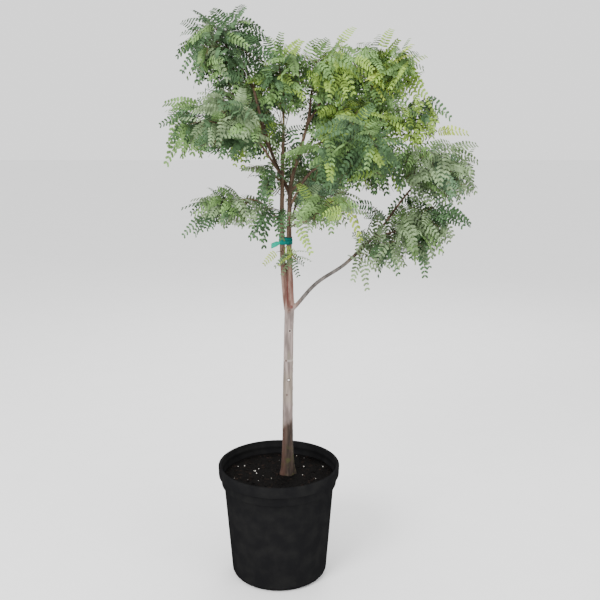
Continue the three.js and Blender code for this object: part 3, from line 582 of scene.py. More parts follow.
class Finish:
    """A material with a few helpers for its nodes."""

    def __init__(self, name, roughness, specular):
        self.material = bpy.data.materials.new(name)
        self.material.use_nodes = True
        self.tree = self.material.node_tree
        self.shader = self.tree.nodes["Principled BSDF"]
        self.shader.inputs["Roughness"].default_value = roughness
        self.shader.inputs["Specular IOR Level"].default_value = specular
        self.place = self.tree.nodes.new("ShaderNodeTexCoord").outputs["Object"]

    def put(self, socket, value):
        if isinstance(value, bpy.types.NodeSocket):
            self.tree.links.new(value, socket)
        else:
            socket.default_value = value

    def node(self, kind, output, inputs, **settings):
        made = self.tree.nodes.new(kind)
        for key, value in settings.items():
            setattr(made, key, value)
        for key, value in inputs.items():
            self.put(made.inputs[key], value)
        return made.outputs[output]

    def stretched(self, scale):
        return self.node("ShaderNodeMapping", 0, {"Vector": self.place, "Scale": scale})

    def noise(self, scale, detail=3, stretch=(1, 1, 1)):
        inputs = {"Vector": self.stretched(stretch), "Scale": scale, "Detail": detail}
        return self.node("ShaderNodeTexNoise", "Fac", inputs)

    def ramp(self, value, low, high):
        """0 below low and 1 above high."""
        inputs = {"Value": value, "From Min": low, "From Max": high}
        return self.node("ShaderNodeMapRange", 0, inputs, interpolation_type="SMOOTHSTEP")

    def mix(self, share, first, second):
        return self.node("ShaderNodeMix", 2, {0: share, 6: first, 7: second}, data_type="RGBA")

    def between(self, pattern, ends, dark, light):
        """A dark colour where a pattern is at the low one of two ends, and a light one at the high."""
        return self.mix(self.ramp(pattern, *ends), linear(dark), linear(light))

    def over(self, base, share, colour):
        """A colour laid over a base where share is 1."""
        return self.mix(share, base, linear(colour))

    def maths(self, operation, first, second):
        return self.node("ShaderNodeMath", 0, {0: first, 1: second}, operation=operation)

    def times(self, first, second):
        return self.maths("MULTIPLY", first, second)

    def axis(self, name):
        return self.node("ShaderNodeSeparateXYZ", name, {"Vector": self.place})

    def spot(self, place, radius):
        """1 within a radius of a place, and 0 a little farther out."""
        inputs = {0: self.place, 1: tuple(c * MM for c in place)}
        away = self.node("ShaderNodeVectorMath", "Value", inputs, operation="DISTANCE")
        return self.ramp(away, radius * 1.35 * MM, radius * 0.8 * MM)

    def band(self, value, middle, half):
        """1 within a band about a middle, and 0 at twice its half width."""
        away = self.maths("ABSOLUTE", self.maths("SUBTRACT", value, middle), 0)
        return self.ramp(away, half * 2, half)

    def bump(self, height, strength, distance):
        inputs = {"Height": height, "Strength": strength, "Distance": distance}
        self.put(self.shader.inputs["Normal"], self.node("ShaderNodeBump", 0, inputs))

    def colour(self, value):
        self.put(self.shader.inputs["Base Color"], value)

    def roughness(self, share, low, high):
        value = self.mix(share, (low, low, low, 1), (high, high, high, 1))
        self.put(self.shader.inputs["Roughness"], value)


def plain_finish(name):
    """A material in patches of a dark and a light colour, with small bumps."""
    look = PLAIN[name]
    finish = Finish(name, look["roughness"], look["specular"])
    patches = finish.noise(*look["noise"])
    share = finish.ramp(patches, *look["ends"]) if look["ends"] else patches
    finish.colour(finish.mix(share, linear(look["dark"]), linear(look["light"])))
    if look["bumps"]:
        finish.bump(finish.noise(*look["bumps"]), *look["depth"])
    return finish


def leaf_finish(tint):
    """A leaf's material, in patches darker and lighter than its tint. The dark tint is painted shade, and the
    bright and yellow tints are painted sunlight.
    """
    finish = Finish(f"leaf_{tint}", roughness=0.6, specular=0.16)
    base = linear(TINTS[tint])
    deep = tuple(c * LEAF_SHADES["deep"] for c in base[:3]) + (1,)
    light = tuple(min(1, c * LEAF_SHADES["light"] + LEAF_SHADES["lift"]) for c in base[:3]) + (1,)
    patches = finish.ramp(finish.noise(24, 3), 0.36, 0.66)
    finish.colour(finish.mix(patches, deep, light))
    finish.bump(finish.noise(900, 2), 0.25, 0.0004)
    return finish.material


def bark_finish(trunk):
    """Bark in tones that change along the trunk, with washes of other colours and the trunk's scars."""
    finish = Finish("bark_young", roughness=0.78, specular=0.25)
    height = finish.axis("Z")
    sideways = finish.axis("X")
    streaks = finish.noise(90, 5, (1, 1, 0.16))
    blotches = finish.noise(38, 4, (1, 1, 0.5))
    tones = {name: finish.between(streaks, *tone) for name, tone in BARK_TONES.items()}
    middle = finish.over(tones["middle"], finish.ramp(blotches, 0.52, 0.75), (118, 112, 98))
    for place, half, strength, colour in BARK_BANDS:
        middle = finish.over(middle, finish.times(finish.band(height, place, half), strength), colour)
    moss = finish.times(finish.ramp(finish.noise(60, 4), 0.5, 0.66), finish.ramp(height, 0.42, 0.36))
    foot = finish.over(tones["foot"], moss, (60, 58, 34))
    foot = finish.over(foot, finish.times(finish.ramp(sideways, 0.026, 0.012), 0.4), (74, 42, 34))
    fork = tones["fork"]
    at_fork = finish.band(height, *CLEFTS["band"])
    for place in CLEFTS["places"]:
        cleft = finish.times(finish.band(sideways, place, CLEFTS["half"]), at_fork)
        fork = finish.over(fork, finish.times(cleft, CLEFTS["strength"]), CLEFTS["colour"])
    uneven = finish.times(finish.maths("SUBTRACT", blotches, 0.5), 0.09)
    edge = finish.maths("ADD", height, uneven)
    colour = foot
    for tone, ends in zip((middle, fork, tones["upper"]), BARK_EDGES):
        colour = finish.mix(finish.ramp(edge, *ends), colour, tone)
    bough = finish.mix(finish.ramp(sideways, 0.17, 0.24), tones["bough"], tones["upper"])
    below = finish.ramp(finish.maths("SUBTRACT", height, sideways), 0.86, 0.82)
    colour = finish.mix(finish.times(finish.ramp(sideways, 0.046, 0.07), below), colour, bough)
    for scar in SCARS:
        if "shade" in scar:
            for shade, reach in zip(SCAR_SHADES[scar["shade"]], (1.45, 0.85)):
                spot = finish.spot(scar_place(trunk, scar), scar["size"] * reach)
                colour = finish.over(colour, spot, shade)
    finish.colour(colour)
    finish.roughness(streaks, 0.66, 0.9)
    fine = finish.times(finish.noise(420, 4, (1, 1, 0.3)), 0.4)
    finish.bump(finish.maths("ADD", streaks, fine), 0.5, 0.0012)
    return finish.material


def pot_finish():
    finish = plain_finish("pot_plastic")
    scuffs = finish.ramp(finish.noise(60, 4), 0.3, 0.7)
    finish.roughness(scuffs, 0.8, 0.9)
    return finish.material


def tape_finish():
    finish = Finish("tie_tape", roughness=0.55, specular=0.08)
    folds = finish.noise(160, 3, (1, 1, 0.4))
    band = finish.between(folds, (0.3, 0.7), (0, 70, 65), (4, 98, 91))
    finish.colour(finish.over(band, finish.ramp(finish.axis("X"), 0.01, 0.005), (0, 146, 122)))
    finish.bump(folds, 0.35, 0.001)
    return finish.material


# Limbs

def limb_radius(limb, share):
    radius = lerp(*limb["radii"], share)
    if limb["name"] == "trunk":
        length = FORK_Z - SOIL_TOP
        radius = radius + FLARE["radius"] * np.exp(-share * length / FLARE["height"])
        radius = radius + SWELL["radius"] * np.exp(-(1 - share) * length / SWELL["height"])
    return radius


def lay_limbs():
    """The limbs' curves, each from a point of the limb that carries it."""
    limbs = {}
    for row in LIMBS:
        if row["on"]:
            foot = limbs[row["on"]]["curve"].at(row["at"]) + vec(row.get("shift", (0, 0, 0)))
        else:
            foot = vec(row["foot"])
        curve = Arc(foot, vec(row["leave"]), vec(row["tip"]), vec(row["arrive"]), row.get("bow"))
        limbs[row["name"]] = {**row, "curve": curve}
    return limbs


def probe_limbs(limbs):
    """Points along every limb and the radius at each, for keeping leaves and twigs off the wood."""
    points = []
    radii = []
    for limb in limbs.values():
        shares = limb["curve"].steps(PROBE_SPACING)
        points.append(limb["curve"].at(shares))
        radii.append(limb_radius(limb, shares))
    return np.concatenate(points), np.concatenate(radii)


def rough_limbs(limbs):
    """Every limb as a tube with a collar where it leaves its own limb, all in one mesh."""
    bundle = Bundle()
    for limb in limbs.values():
        curve = limb["curve"]
        shares = curve.steps(BARK["ring"])
        radii = limb_radius(limb, shares)
        path = curve.at(shares)
        if limb["name"] == "trunk":
            path[0] = path[0] - UP * BARK["sink"]
        elif limb["at"] < 1:
            radii = radii * (1 + BARK["collar"] * np.exp(-shares * curve.length / BARK["collar_length"]))
        bundle.add(*tube(path, radii, BARK["sides"]))
    return bundle.mesh("limbs_rough")


def one_skin(mesh):
    """The mesh's overlapping tubes joined into one even skin."""
    rough = placed("rough", mesh)
    remesh = rough.modifiers.new("skin", "REMESH")
    remesh.mode = "VOXEL"
    remesh.voxel_size = BARK["grid"] * MM
    skin = bpy.data.meshes.new_from_object(rough.evaluated_get(bpy.context.evaluated_depsgraph_get()))
    bpy.data.objects.remove(rough)
    return skin


def smoothed(points, edges, weights, rounds):
    """Points drawn towards the mean of their neighbours, more where their weight is larger."""
    a, b = edges.T
    number = np.bincount(edges.ravel(), minlength=len(points))
    for _ in range(rounds):
        means = np.stack([
            np.bincount(a, points[b, k], len(points)) + np.bincount(b, points[a, k], len(points))
            for k in range(3)
        ], axis=1) / number[:, None]
        points = points + (means - points) * weights[:, None]
    return points


def scar_place(trunk, scar):
    """Where a scar lies on the trunk's surface."""
    share = min(1, (scar["z"] - SOIL_TOP) / (FORK_Z - SOIL_TOP))
    centre = trunk["curve"].at(share)
    centre[2] = scar["z"]
    return centre + vec((math.cos(scar["turn"]), math.sin(scar["turn"]), 0)) * limb_radius(trunk, share)


def bark_relief(points, trunk):
    """How far the bark stands out: long low ridges, finer grain, ribs at the foot, and bud scars."""
    ridges = grain(points, RELIEF["ridge"], 3.1)
    fine = grain(points, RELIEF["fine"], 8.7)
    thick = (points[:, 2] < FORK_Z + RELIEF["above_fork"]) & (np.abs(points[:, 0] - 30) < 30)
    girth = np.where(thick, 1, RELIEF["on_boughs"])
    height = girth * (RELIEF["ridge_height"] * ridges + RELIEF["fine_height"] * fine)
    flare = np.clip(1 - (points[:, 2] - SOIL_TOP) / RELIEF["rib_reach"], 0, 1)
    angle = np.arctan2(points[:, 1], points[:, 0] - trunk["foot"][0])
    height += RELIEF["rib_height"] * flare ** 2 * np.cos(RELIEF["ribs"] * angle + 0.6)
    for scar in SCARS:
        size = scar["size"]
        away = np.linalg.norm((points - scar_place(trunk, scar)) * (1, 1, 0.85), axis=1)
        height += RELIEF["scar_rim"] * np.exp(-((away - size * 1.4) / (size * 0.6)) ** 2)
        height -= RELIEF["scar_depth"] * np.exp(-(away / size) ** 2)
    return height


def move_points(mesh, points):
    mesh.vertices.foreach_set("co", (points * MM).ravel())
    mesh.update()


def make_bark(limbs):
    """The trunk and boughs as one skin with the bark's relief."""
    mesh = one_skin(rough_limbs(limbs))
    count = len(mesh.vertices)
    points = np.empty(count * 3)
    mesh.vertices.foreach_get("co", points)
    points = points.reshape(-1, 3) / MM
    edges = np.empty(len(mesh.edges) * 2, np.int32)
    mesh.edges.foreach_get("vertices", edges)
    near = np.zeros(count)
    for limb in limbs.values():
        if limb["on"]:
            thickness = limb_radius(limbs[limb["on"]], limb["at"])
            spread = SMOOTHING["reach"] * thickness + SMOOTHING["margin"]
            away = np.linalg.norm(points - limb["curve"].at(0), axis=1)
            near = np.maximum(near, np.exp(-(away / spread) ** 2))
    weights = SMOOTHING["least"] + SMOOTHING["at_joints"] * near
    points = smoothed(points, edges.reshape(-1, 2), weights, SMOOTHING["rounds"])
    move_points(mesh, points)
    normals = np.empty(count * 3, np.float32)
    mesh.vertex_normals.foreach_get("vector", normals)
    points = points + normals.reshape(-1, 3) * bark_relief(points, limbs["trunk"])[:, None]
    points[:, 2] = np.maximum(points[:, 2], SOIL_TOP - BARK["sink"])
    move_points(mesh, points)
    mesh.materials.clear()
    skin = piece("bark_skin", mesh, bark_finish(limbs["trunk"]))
    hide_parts(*limbs)


# The spaces of the masses

def part_spaces(masses):
    """The planes that part each mass's space from its neighbours'."""
    for mass in masses:
        mass["middle"] = vec(mass["centre"])
        mass["size"] = vec(mass["half"])
        mass["towards"] = []
        mass["limits"] = []
    for mass in masses:
        for other in masses:
            if other is mass:
                continue
            towards = other["middle"] - mass["middle"]
            distance = np.linalg.norm(towards)
            towards = towards / distance
            own = np.linalg.norm(towards * mass["size"])
            others = np.linalg.norm(towards * other["size"])
            if distance < own + others + 2 * SPACE_MARGIN:
                mass["towards"].append(towards)
                mass["limits"].append(distance * own / (own + others) - SPACE_MARGIN)
        mass["towards"] = np.array(mass["towards"]).reshape(-1, 3)
        mass["limits"] = np.array(mass["limits"])


def in_space(mass, points, slack):
    """Whether all points lie in a mass's space, let out by slack towards its neighbours."""
    start = points - mass["middle"]
    return (
        np.all(np.sum((start / mass["size"]) ** 2, axis=1) <= 1)
        and np.all(start @ mass["towards"].T < mass["limits"] + slack)
        and np.all(points > REACH_LOW)
        and np.all(points < REACH_HIGH)
    )


def room(mass, point, direction, slack):
    """How far a mass's space goes on from a point in a direction."""
    start = (point - mass["middle"]) / mass["size"]
    step = direction / mass["size"]
    a = np.dot(step, step)
    b = np.dot(start, step)
    c = np.dot(start, start) - 1
    reach = (-b + math.sqrt(max(0, b * b - a * c))) / a
    speeds = mass["towards"] @ direction
    left = mass["limits"] + slack - mass["towards"] @ (point - mass["middle"])
    ahead = speeds > 0
    if ahead.any():
        reach = min(reach, np.min(left[ahead] / speeds[ahead]))
    return max(0, reach)


def on_picture(points):
    """The points carried along the camera's lines of sight to the upright plane through the trunk."""
    eye = vec(CAMERA["place"])
    return eye + (points - eye) * (eye[1] / (eye[1] - points[:, 1:2]))


def in_void(points):
    """Whether any of the points hides the sky of a void from the camera."""
    seen = on_picture(points)
    return any(np.any(np.hypot(seen[:, 0] - x, seen[:, 2] - z) < radius) for x, z, radius in VOIDS)


def bare_limbs(limbs):
    """Points along the limbs that show, where the camera sees them, and the clear width round each."""
    points = []
    radii = []
    for name, first, last in BARED:
        curve = limbs[name]["curve"]
        shares = curve.steps(BARED_SPACING, first, last)
        points.append(curve.at(shares))
        radii.append(limb_radius(limbs[name], shares) + BARED_MARGIN)
    points = np.concatenate(points)
    return points[:, 1], on_picture(points), np.concatenate(radii)


def hides_limb(bared, points):
    """Whether any of the points stands between the camera and a limb that shows."""
    depths, places, radii = bared
    seen = on_picture(points)
    across = seen[:, None, 0] - places[None, :, 0]
    up = seen[:, None, 2] - places[None, :, 2]
    covers = across ** 2 + up ** 2 < radii ** 2
    return bool(np.any(covers & (points[:, None, 1] < depths)))


def clear_of(probes, points, clearance):
    """Whether points keep clear of the limbs."""
    places, radii = probes
    gaps = np.linalg.norm(points[:, None] - places[None], axis=2) - radii
    return gaps.size == 0 or gaps.min() > clearance


# Leaves and twigs


def held_leaf(root, way, rank, key, hold, droop, stage):
    """A leaf on a twig, from its root, the twig's way there, its rank and how it is held."""
    level = unit(cross(way, UP))
    hand = (1 if rank % 2 == 0 else -1) * hold["hand"]
    turn = hold["turn"] * (LEAF["tip_turn"] if rank < 0 else draw(LEAF["turn"], key, 0))
    lift = hold["lift"] - droop * draw(LEAF["hang"], key, 2)
    along = unit(way * math.cos(turn) + level * hand * math.sin(turn) + UP * lift)
    roll = draw(LEAF["roll"], key, 1)
    lit = chance(key, 12) < stage.get("facing", 0)
    if lit:
        across = turned(unit(cross(along, LIGHT_SIDE)), along, roll * LEAF["lit_roll"])
    else:
        across = turned(unit(cross(along, UP)), along, roll)
    sag = LEAF["droop_sag"] * droop + draw(LEAF["sag"], key, 4)
    scale = hold["size"] * draw(LEAF["scale"], key, 3)
    return {
        "root": root, "along": along, "across": across, "sag": sag, "scale": scale, "key": key, "lit": lit,
    }


def leaf_points(leaf, local):
    """Points given along, across and above a leaf, in millimetres at its full size."""
    length = LEAF["length"] * leaf["scale"]
    share = local[:, 0:1] / LEAF["length"]
    above = cross(leaf["across"], leaf["along"])
    above = above if above[2] > 0 else -above
    return (
        leaf["root"] + leaf["along"] * share * length - UP * leaf["sag"] * length * share ** 2
        + leaf["across"] * local[:, 1:2] * leaf["breadth"] + above * local[:, 2:3] * leaf["scale"]
    )


def mark_grid():
    """Rows of three points spread over a leaf."""
    marks = []
    for row in range(1, MARK_ROWS + 1):
        share = row / MARK_ROWS
        width = np.interp(share, *zip(*OUTLINE)) * LEAF["width"]
        marks += [(share * LEAF["length"], part * width, 0) for part in MARK_PARTS]
    return vec(marks)


def rim_points():
    """The root, the widest places and the end of a leaf."""
    return vec([
        (share * LEAF["length"], side * 0.5 * width * LEAF["width"], 0)
        for share, width in OUTLINE for side in (-1, 1)
    ])


MARKS = mark_grid()
RIM = rim_points()
MIDDLES = [row * 3 + 1 for row in range(1, MARK_ROWS, 2)]


class Growth:
    """What one mass has grown so far, and the other masses' leaves that are near it."""

    def __init__(self, mass, index, probes, bared):
        self.mass = mass
        self.index = index
        self.bared = bared
        places, radii = probes
        near = np.all(np.abs(places - mass["middle"]) < mass["size"] + NEAR["limbs"], axis=1)
        self.probes = (places[near], radii[near])
        self.twigs = []
        self.leaves = []
        self.taken = np.empty((0, 3))
        self.others = np.empty((0, 3))

    def meet(self, others):
        """Takes note of the leaves of all masses that lie near this one."""
        places = np.concatenate(others)
        near = np.abs(places - self.mass["middle"]) < self.mass["size"] + NEAR["leaves"]
        self.others = places[np.all(near, axis=1)]

    def near(self, root):
        """The taken places and the limbs' probes that lie within a leaf's reach of its root."""
        taken = np.concatenate([self.taken, self.others])
        places, radii = self.probes
        close = np.sum((places - root) ** 2, axis=1) < LEAF_REACH ** 2
        return taken[np.sum((taken - root) ** 2, axis=1) < LEAF_REACH ** 2], (places[close], radii[close])

    def fits(self, leaf, near, stage):
        rim = leaf_points(leaf, RIM)
        if stage.get("free"):
            inside = np.all(rim > REACH_LOW) and np.all(rim < REACH_HIGH)
        else:
            inside = in_space(self.mass, rim, stage["slack"])
        if not inside:
            return None
        marks = leaf_points(leaf, MARKS)
        if stage["slack"] and (in_void(marks) or hides_limb(self.bared, marks)):
            return None
        middles = marks[MIDDLES]
        taken, probes = near
        gaps = np.linalg.norm(middles[:, None] - taken[None], axis=2)
        if gaps.size and gaps.min() < stage["apart"] * self.mass.get("airy", 1):
            return None
        return middles if clear_of(probes, marks, stage["clearance"]) else None

    def hold_leaf(self, root, way, rank, key, spray, stage):
        """Adds the first way of holding a leaf that fits. Where none fits, the leaf is skipped."""
        near = self.near(root)
        for hold in HOLDS[:stage["holds"]]:
            droop = stage["hang"] if "hang" in stage else self.mass["droop"] + stage["droop"]
            leaf = held_leaf(root, way, rank, key, hold, droop, stage)
            leaf["scale"] *= stage["size"] * self.mass.get("leaf_size", 1)
            leaf["breadth"] = leaf["scale"] ** stage.get("breadth", 1)
            middles = self.fits(leaf, near, stage)
            if middles is not None:
                leaf["spray"] = spray
                self.leaves.append(leaf)
                self.taken = np.concatenate([self.taken, middles])
                return

    def add_leaf(self, curve, share, rank, key, spray, stage):
        """Adds a leaf at a share of a curve's length."""
        self.hold_leaf(curve.at(share), curve.way(share), rank, key, spray, stage)

    def add_leaves(self, curve, key, spray, stage):
        """Leaves along a shoot: one at its tip, then two ranks back to its foot."""
        count = max(1, round(curve.length / stage["spacing"]))
        self.add_leaf(curve, TIP_SHARE, -1, key, spray, stage)
        for rank in range(count):
            self.add_leaf(curve, 1 - (rank + RANK_SHIFT) / count, rank, key + rank + 1, spray, stage)

    def add_twig(self, curve, foot, tip, spray, stage):
        """Adds a twig if it stays in the space and off the limbs."""
        marks = curve.at(np.array([0.25, 0.5, 0.75, 1]))
        fits = in_space(self.mass, marks, stage["slack"]) and clear_of(self.probes, marks, stage["clearance"])
        if fits:
            self.twigs.append({"curve": curve, "foot": foot, "tip": tip, "spray": spray})
        return fits


def stem_of(mass, limbs):
    """The stem of a mass, from its limb to the point that it reaches, and its radius at the foot."""
    parent = limbs[mass["on"]]
    foot = parent["curve"].at(mass["at"])
    reach = vec(mass["reach"])
    leave = parent["curve"].way(1) if mass["at"] == 1 else unit(reach - foot)
    arrive = unit(reach - mass["middle"]) + leave
    radius = min(STEM["foot"], STEM["fit"] * limb_radius(parent, mass["at"]))
    return Arc(foot, leave, reach, arrive), radius


def side_way(way, level, turn):
    """A way square to a twig's, turned round the twig."""
    return turned(unit(cross(way, level)), way, turn)


def shoot_way(stem, share, s, index, key):
    """The way that shoot number s leaves the stem, turned from the one before by the golden angle."""
    way = stem.way(share)
    side = side_way(way, UP, s * GOLDEN_ANGLE + index)
    tilt = lerp(SHOOT["foot_tilt"], SHOOT["tip_tilt"], share) + draw(SHOOT["tilt_spread"], key, 1)
    return way * math.cos(tilt) + side * math.sin(tilt)


def hanging(start, out, length, droop):
    """A shoot's curve, from its start, the way out, its length and how far it hangs."""
    tip = start + out * length - UP * droop * SHOOT["hang"] * length
    return Arc(start, out, tip, out - UP * droop)


def grow_shoots(growth, limbs):
    """A mass's stem and its main shoots with their leaves."""
    mass, index = growth.mass, growth.index
    stem, radius = stem_of(mass, limbs)
    growth.twigs.append({"curve": stem, "foot": radius, "tip": STEM["tip"], "spray": 0})
    growth.add_leaf(stem, TIP_SHARE, -1, index * 2000, 0, MAIN)
    for s in range(mass["shoots"]):
        key = index * 100 + s + 1
        share = lerp(STEM["first"], STEM["last"], (s + 0.5) / mass["shoots"])
        start = stem.at(share)
        out = shoot_way(stem, share, s, index, key)
        length = room(mass, start, out, 0) - LEAF["length"] * SHOOT["reserve"]
        if length < SHOOT["least"]:
            growth.hold_leaf(start, out, -1, key * 20, s, MAIN)
            continue
        shoot = hanging(start, out, length, mass["droop"])
        if growth.add_twig(shoot, SHOOT["foot"], SHOOT["tip"], s, MAIN):
            growth.add_leaves(shoot, key * 20, s, MAIN)


def grow_finer(growth, stage, first):
    """Finer twigs along a mass's twigs, turned by the golden angle, with their leaves."""
    for number, twig in enumerate(list(growth.twigs)):
        if number < first:
            continue
        curve = twig["curve"]
        count = max(1, round(curve.length / stage["twig_spacing"]))
        for k in range(count):
            key = ((growth.index + 1) * 1000 + number) * 40 + k
            share = 1 - (k + 0.5) / count
            way = curve.way(share)
            side = side_way(way, UP, k * GOLDEN_ANGLE + number)
            out = unit(way * draw(stage["lean"], key, 30) + side)
            grow_twig(growth, curve.at(share), out, key, twig["spray"], stage)


def grow_twig(growth, start, out, key, spray, stage):
    """A finer twig as long as there is room, with its leaves, or a single leaf where there is little."""
    space = room(growth.mass, start, out, stage["slack"]) - LEAF["length"] * stage["reserve"]
    length = min(space, draw(stage["twig_length"], key, 31))
    if length < stage["least"]:
        growth.hold_leaf(start, out, -1, key * 30, spray, stage)
        return
    finer = hanging(start, out, length, growth.mass["droop"])
    if growth.add_twig(finer, stage["foot"], stage["tip"], spray, stage):
        growth.add_leaves(finer, key * 30, spray, stage)


def grow_on_limbs(growth, limbs):
    """Finer twigs straight on the limbs, where they pass through the mass's space."""
    for number, limb in enumerate(limbs.values()):
        if limb["name"] == "trunk":
            continue
        curve = limb["curve"]
        count = round(curve.length / LIMB_TWIGS["spacing"])
        for k in range(count):
            key = 500000 + number * 200 + k
            share = (k + 0.5) / count
            point = curve.at(share)
            bare = share < limb.get("bare", LIMB_TWIGS["bare"])
            if bare or not in_space(growth.mass, point[None], 0):
                continue
            way = curve.way(share)
            side = side_way(way, LIMB_TWIGS["level"], k * GOLDEN_ANGLE + number)
            out = unit(way * draw(LIMB_TWIGS["lean"], key, 30) + side)
            start = point + side * limb_radius(limb, share) * LIMB_TWIGS["depth"]
            grow_twig(growth, start, out, key, k, FINE)


def grow_sprigs(growth, limbs):
    """A mass's single sprigs, each with a few hanging leaves near its tip."""
    for number, sprig in enumerate(SPRIGS):
        if sprig["mass"] != growth.mass["name"]:
            continue
        start = limbs[sprig["on"]]["curve"].at(sprig["at"])
        tip = vec(sprig["tip"])
        arrive = vec(sprig["arrive"]) if "arrive" in sprig else tip - start - UP * SPRIG["fall"]
        curve = Arc(start, tip - start + UP * SPRIG["rise"], tip, arrive)
        growth.twigs.append({"curve": curve, "foot": SPRIG["foot"], "tip": SPRIG["tip"], "spray": 0})
        stage = {**SPRIG, "hang": sprig["hang"], "size": sprig.get("size", SPRIG["size"])}
        before = len(growth.leaves)
        for rank in range(sprig["leaves"]):
            share = max(SPRIG["first"], TIP_SHARE - rank * SPRIG["spacing"] / curve.length)
            growth.add_leaf(curve, share, rank - 1, 900000 + number * 10 + rank, 0, stage)
        for leaf in growth.leaves[before:]:
            leaf["tint"] = sprig["tint"]


def grow_between(growth):
    """More leaves along every twig, where there is still room."""
    for number, twig in enumerate(growth.twigs):
        key = ((growth.index + 1) * 1000 + number) * 50
        growth.add_leaves(twig["curve"], key, twig["spray"], BETWEEN)


def grow_all(limbs, probes):
    """Every mass's growth: first all main shoots, then all finer twigs, then leaves between them."""
    bared = bare_limbs(limbs)
    growths = [Growth(mass, index, probes, bared) for index, mass in enumerate(MASSES)]
    full = [growth for growth in growths if not growth.mass.get("open")]
    for growth in growths:
        grow_shoots(growth, limbs)
        grow_sprigs(growth, limbs)
    for growth in full:
        growth.meet([other.taken for other in growths if other is not growth])
        before = len(growth.twigs)
        grow_finer(growth, FINE, 0)
        grow_on_limbs(growth, limbs)
        grow_finer(growth, FINEST, before)
    for growth in full:
        growth.meet([other.taken for other in growths if other is not growth])
        grow_between(growth)
    return growths


# The shape of a leaf


def leaflet_faces():
    """A leaflet's faces: its rim to a point above its middle, and to one below it."""
    count = len(LEAFLET_RIM)
    ring = np.arange(count)
    after = (ring + 1) % count
    top = np.full(count, count)
    return np.concatenate([np.stack([top, ring, after], axis=1), np.stack([top + 1, after, ring], axis=1)])


def leaflet_size(share):
    """How large a leaflet is by its place along the leaf: largest near the middle, smallest at the end."""
    return 0.76 + 0.26 * math.sin(math.pi * min(1, 0.15 + share * 0.95)) - 0.14 * share


def leaf_shape(pairs, hang, seed):
    """A leaf's rachis and its pairs of leaflets, at full size: along, across and above."""
    bundle = Bundle()
    rim = vec(LEAFLET_RIM)
    faces = leaflet_faces()
    for pair in range(pairs):
        share = pair / (pairs - 1)
        place = lerp(LEAFLET["first"], LEAFLET["last"], share) * LEAF["length"]
        size = leaflet_size(share)
        for hand in (1, -1):
            key = pair * 2 + (hand > 0)
            angle = math.radians(lerp(*LEAFLET["angle"], share) + draw(LEAFLET["angle_spread"], seed, key))
            fall = hang + draw(LEAFLET["hang_spread"], seed, key + 50)
            p = np.append(rim[:, 0], (0.5, 0.5)) * (LEAFLET["length"] * size)
            q = np.append(rim[:, 1], (0, 0)) * (LEAFLET["width"] * lerp(size, 1, 0.3))
            fold = np.append(np.abs(rim[:, 1]) * LEAFLET["fold"] * 2, LEAFLET["middles"])
            out = p * math.cos(fall)
            along = place + out * math.cos(angle) - q * math.sin(angle)
            across = hand * (out * math.sin(angle) + q * math.cos(angle) + LEAFLET["gap"])
            points = np.stack([along, across, fold - p * math.sin(fall)], axis=1)
            bundle.add(points, faces if hand < 0 else faces[:, ::-1])
    steps = np.linspace(0, RACHIS["end"], RACHIS["rings"])
    path = np.stack([steps * LEAF["length"], 0 * steps, 0 * steps], axis=1)
    points, walls, caps = tube(path, lerp(*RACHIS["radii"], steps), RACHIS["sides"])
    bundle.add(points, np.concatenate([walls[:, [0, 1, 2]], walls[:, [0, 2, 3]], caps]))
    return np.concatenate(bundle.points), np.concatenate(bundle.faces)


def pick_tint(leaf, tints, index):
    """A leaf's tint: that of its spray or, where it strays, the next tint of its mass."""
    choice = int(draw((0, len(tints)), index * 100 + leaf["spray"], 9))
    stray = chance(leaf["key"], 8) < STRAY
    return leaf.get("tint", tints[(choice + stray) % len(tints)])


def pick_shape(leaf, shapes):
    """A leaf's shape: more pairs the larger it is, and flatter leaflets where it faces the light."""
    low, high = LEAFLET["pairs"]
    pairs = round(LEAFLET["pairs_at_full"] * leaf["scale"] - 0.5 + chance(leaf["key"], 6))
    hangs = LEAFLET["lit_hangs"] if leaf["lit"] else len(LEAFLET["hangs"])
    return shapes[min(high, max(low, pairs))][int(draw((0, hangs), leaf["key"], 7))]


def add_twigs(bundle, twigs):
    """The twigs of a mass as tubes. The first one is its stem, whose foot is sunk in the limb."""
    for number, twig in enumerate(twigs):
        curve = twig["curve"]
        shares = np.linspace(0, 1, max(3, round(curve.length / TWIG["ring"])))
        path = curve.at(shares)
        if number == 0:
            path[0] = path[0] - curve.way(0) * TWIG["sink"]
        sides = TWIG["sides"] if number else TWIG["stem_sides"]
        bundle.add(*tube(path, lerp(twig["foot"], twig["tip"], shares), sides))


def make_foliage(limbs, probes):
    """Every mass's leaves, parted by tint, and its twigs."""
    low, high = LEAFLET["pairs"]
    shapes = {
        pairs: [leaf_shape(pairs, hang, pairs * 10 + k) for k, hang in enumerate(LEAFLET["hangs"])]
        for pairs in range(low, high + 1)
    }
    bundles = {tint: [Bundle()] for tint in TINTS}
    twigs = Bundle()
    for growth in grow_all(limbs, probes):
        tints = growth.mass["tints"].split()
        for leaf in growth.leaves:
            parts = bundles[pick_tint(leaf, tints, growth.index)]
            points, faces = pick_shape(leaf, shapes)
            if parts[-1].triangles + len(faces) > PIECE_LIMIT:
                parts.append(Bundle())
            parts[-1].add(leaf_points(leaf, points), faces)
        add_twigs(twigs, growth.twigs)
    for tint, parts in bundles.items():
        finish = leaf_finish(tint)
        for number, bundle in enumerate(parts):
            if bundle.count:
                piece(f"leaves_{tint}_{number}", bundle.mesh("leaves"), finish, smooth=False)
    wood = piece("twigs", twigs.mesh("twigs"), plain_finish("twig_bark").material)
    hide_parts(*[mass["name"] for mass in MASSES])


# The pot and what is in it

def arc_points(centre, radius, start, end, steps):
    """Points on a round corner of an outline, between two angles in degrees."""
    angles = np.radians(np.linspace(start, end, steps))
    return [(centre[0] + radius * math.cos(a), centre[1] + radius * math.sin(a)) for a in angles]


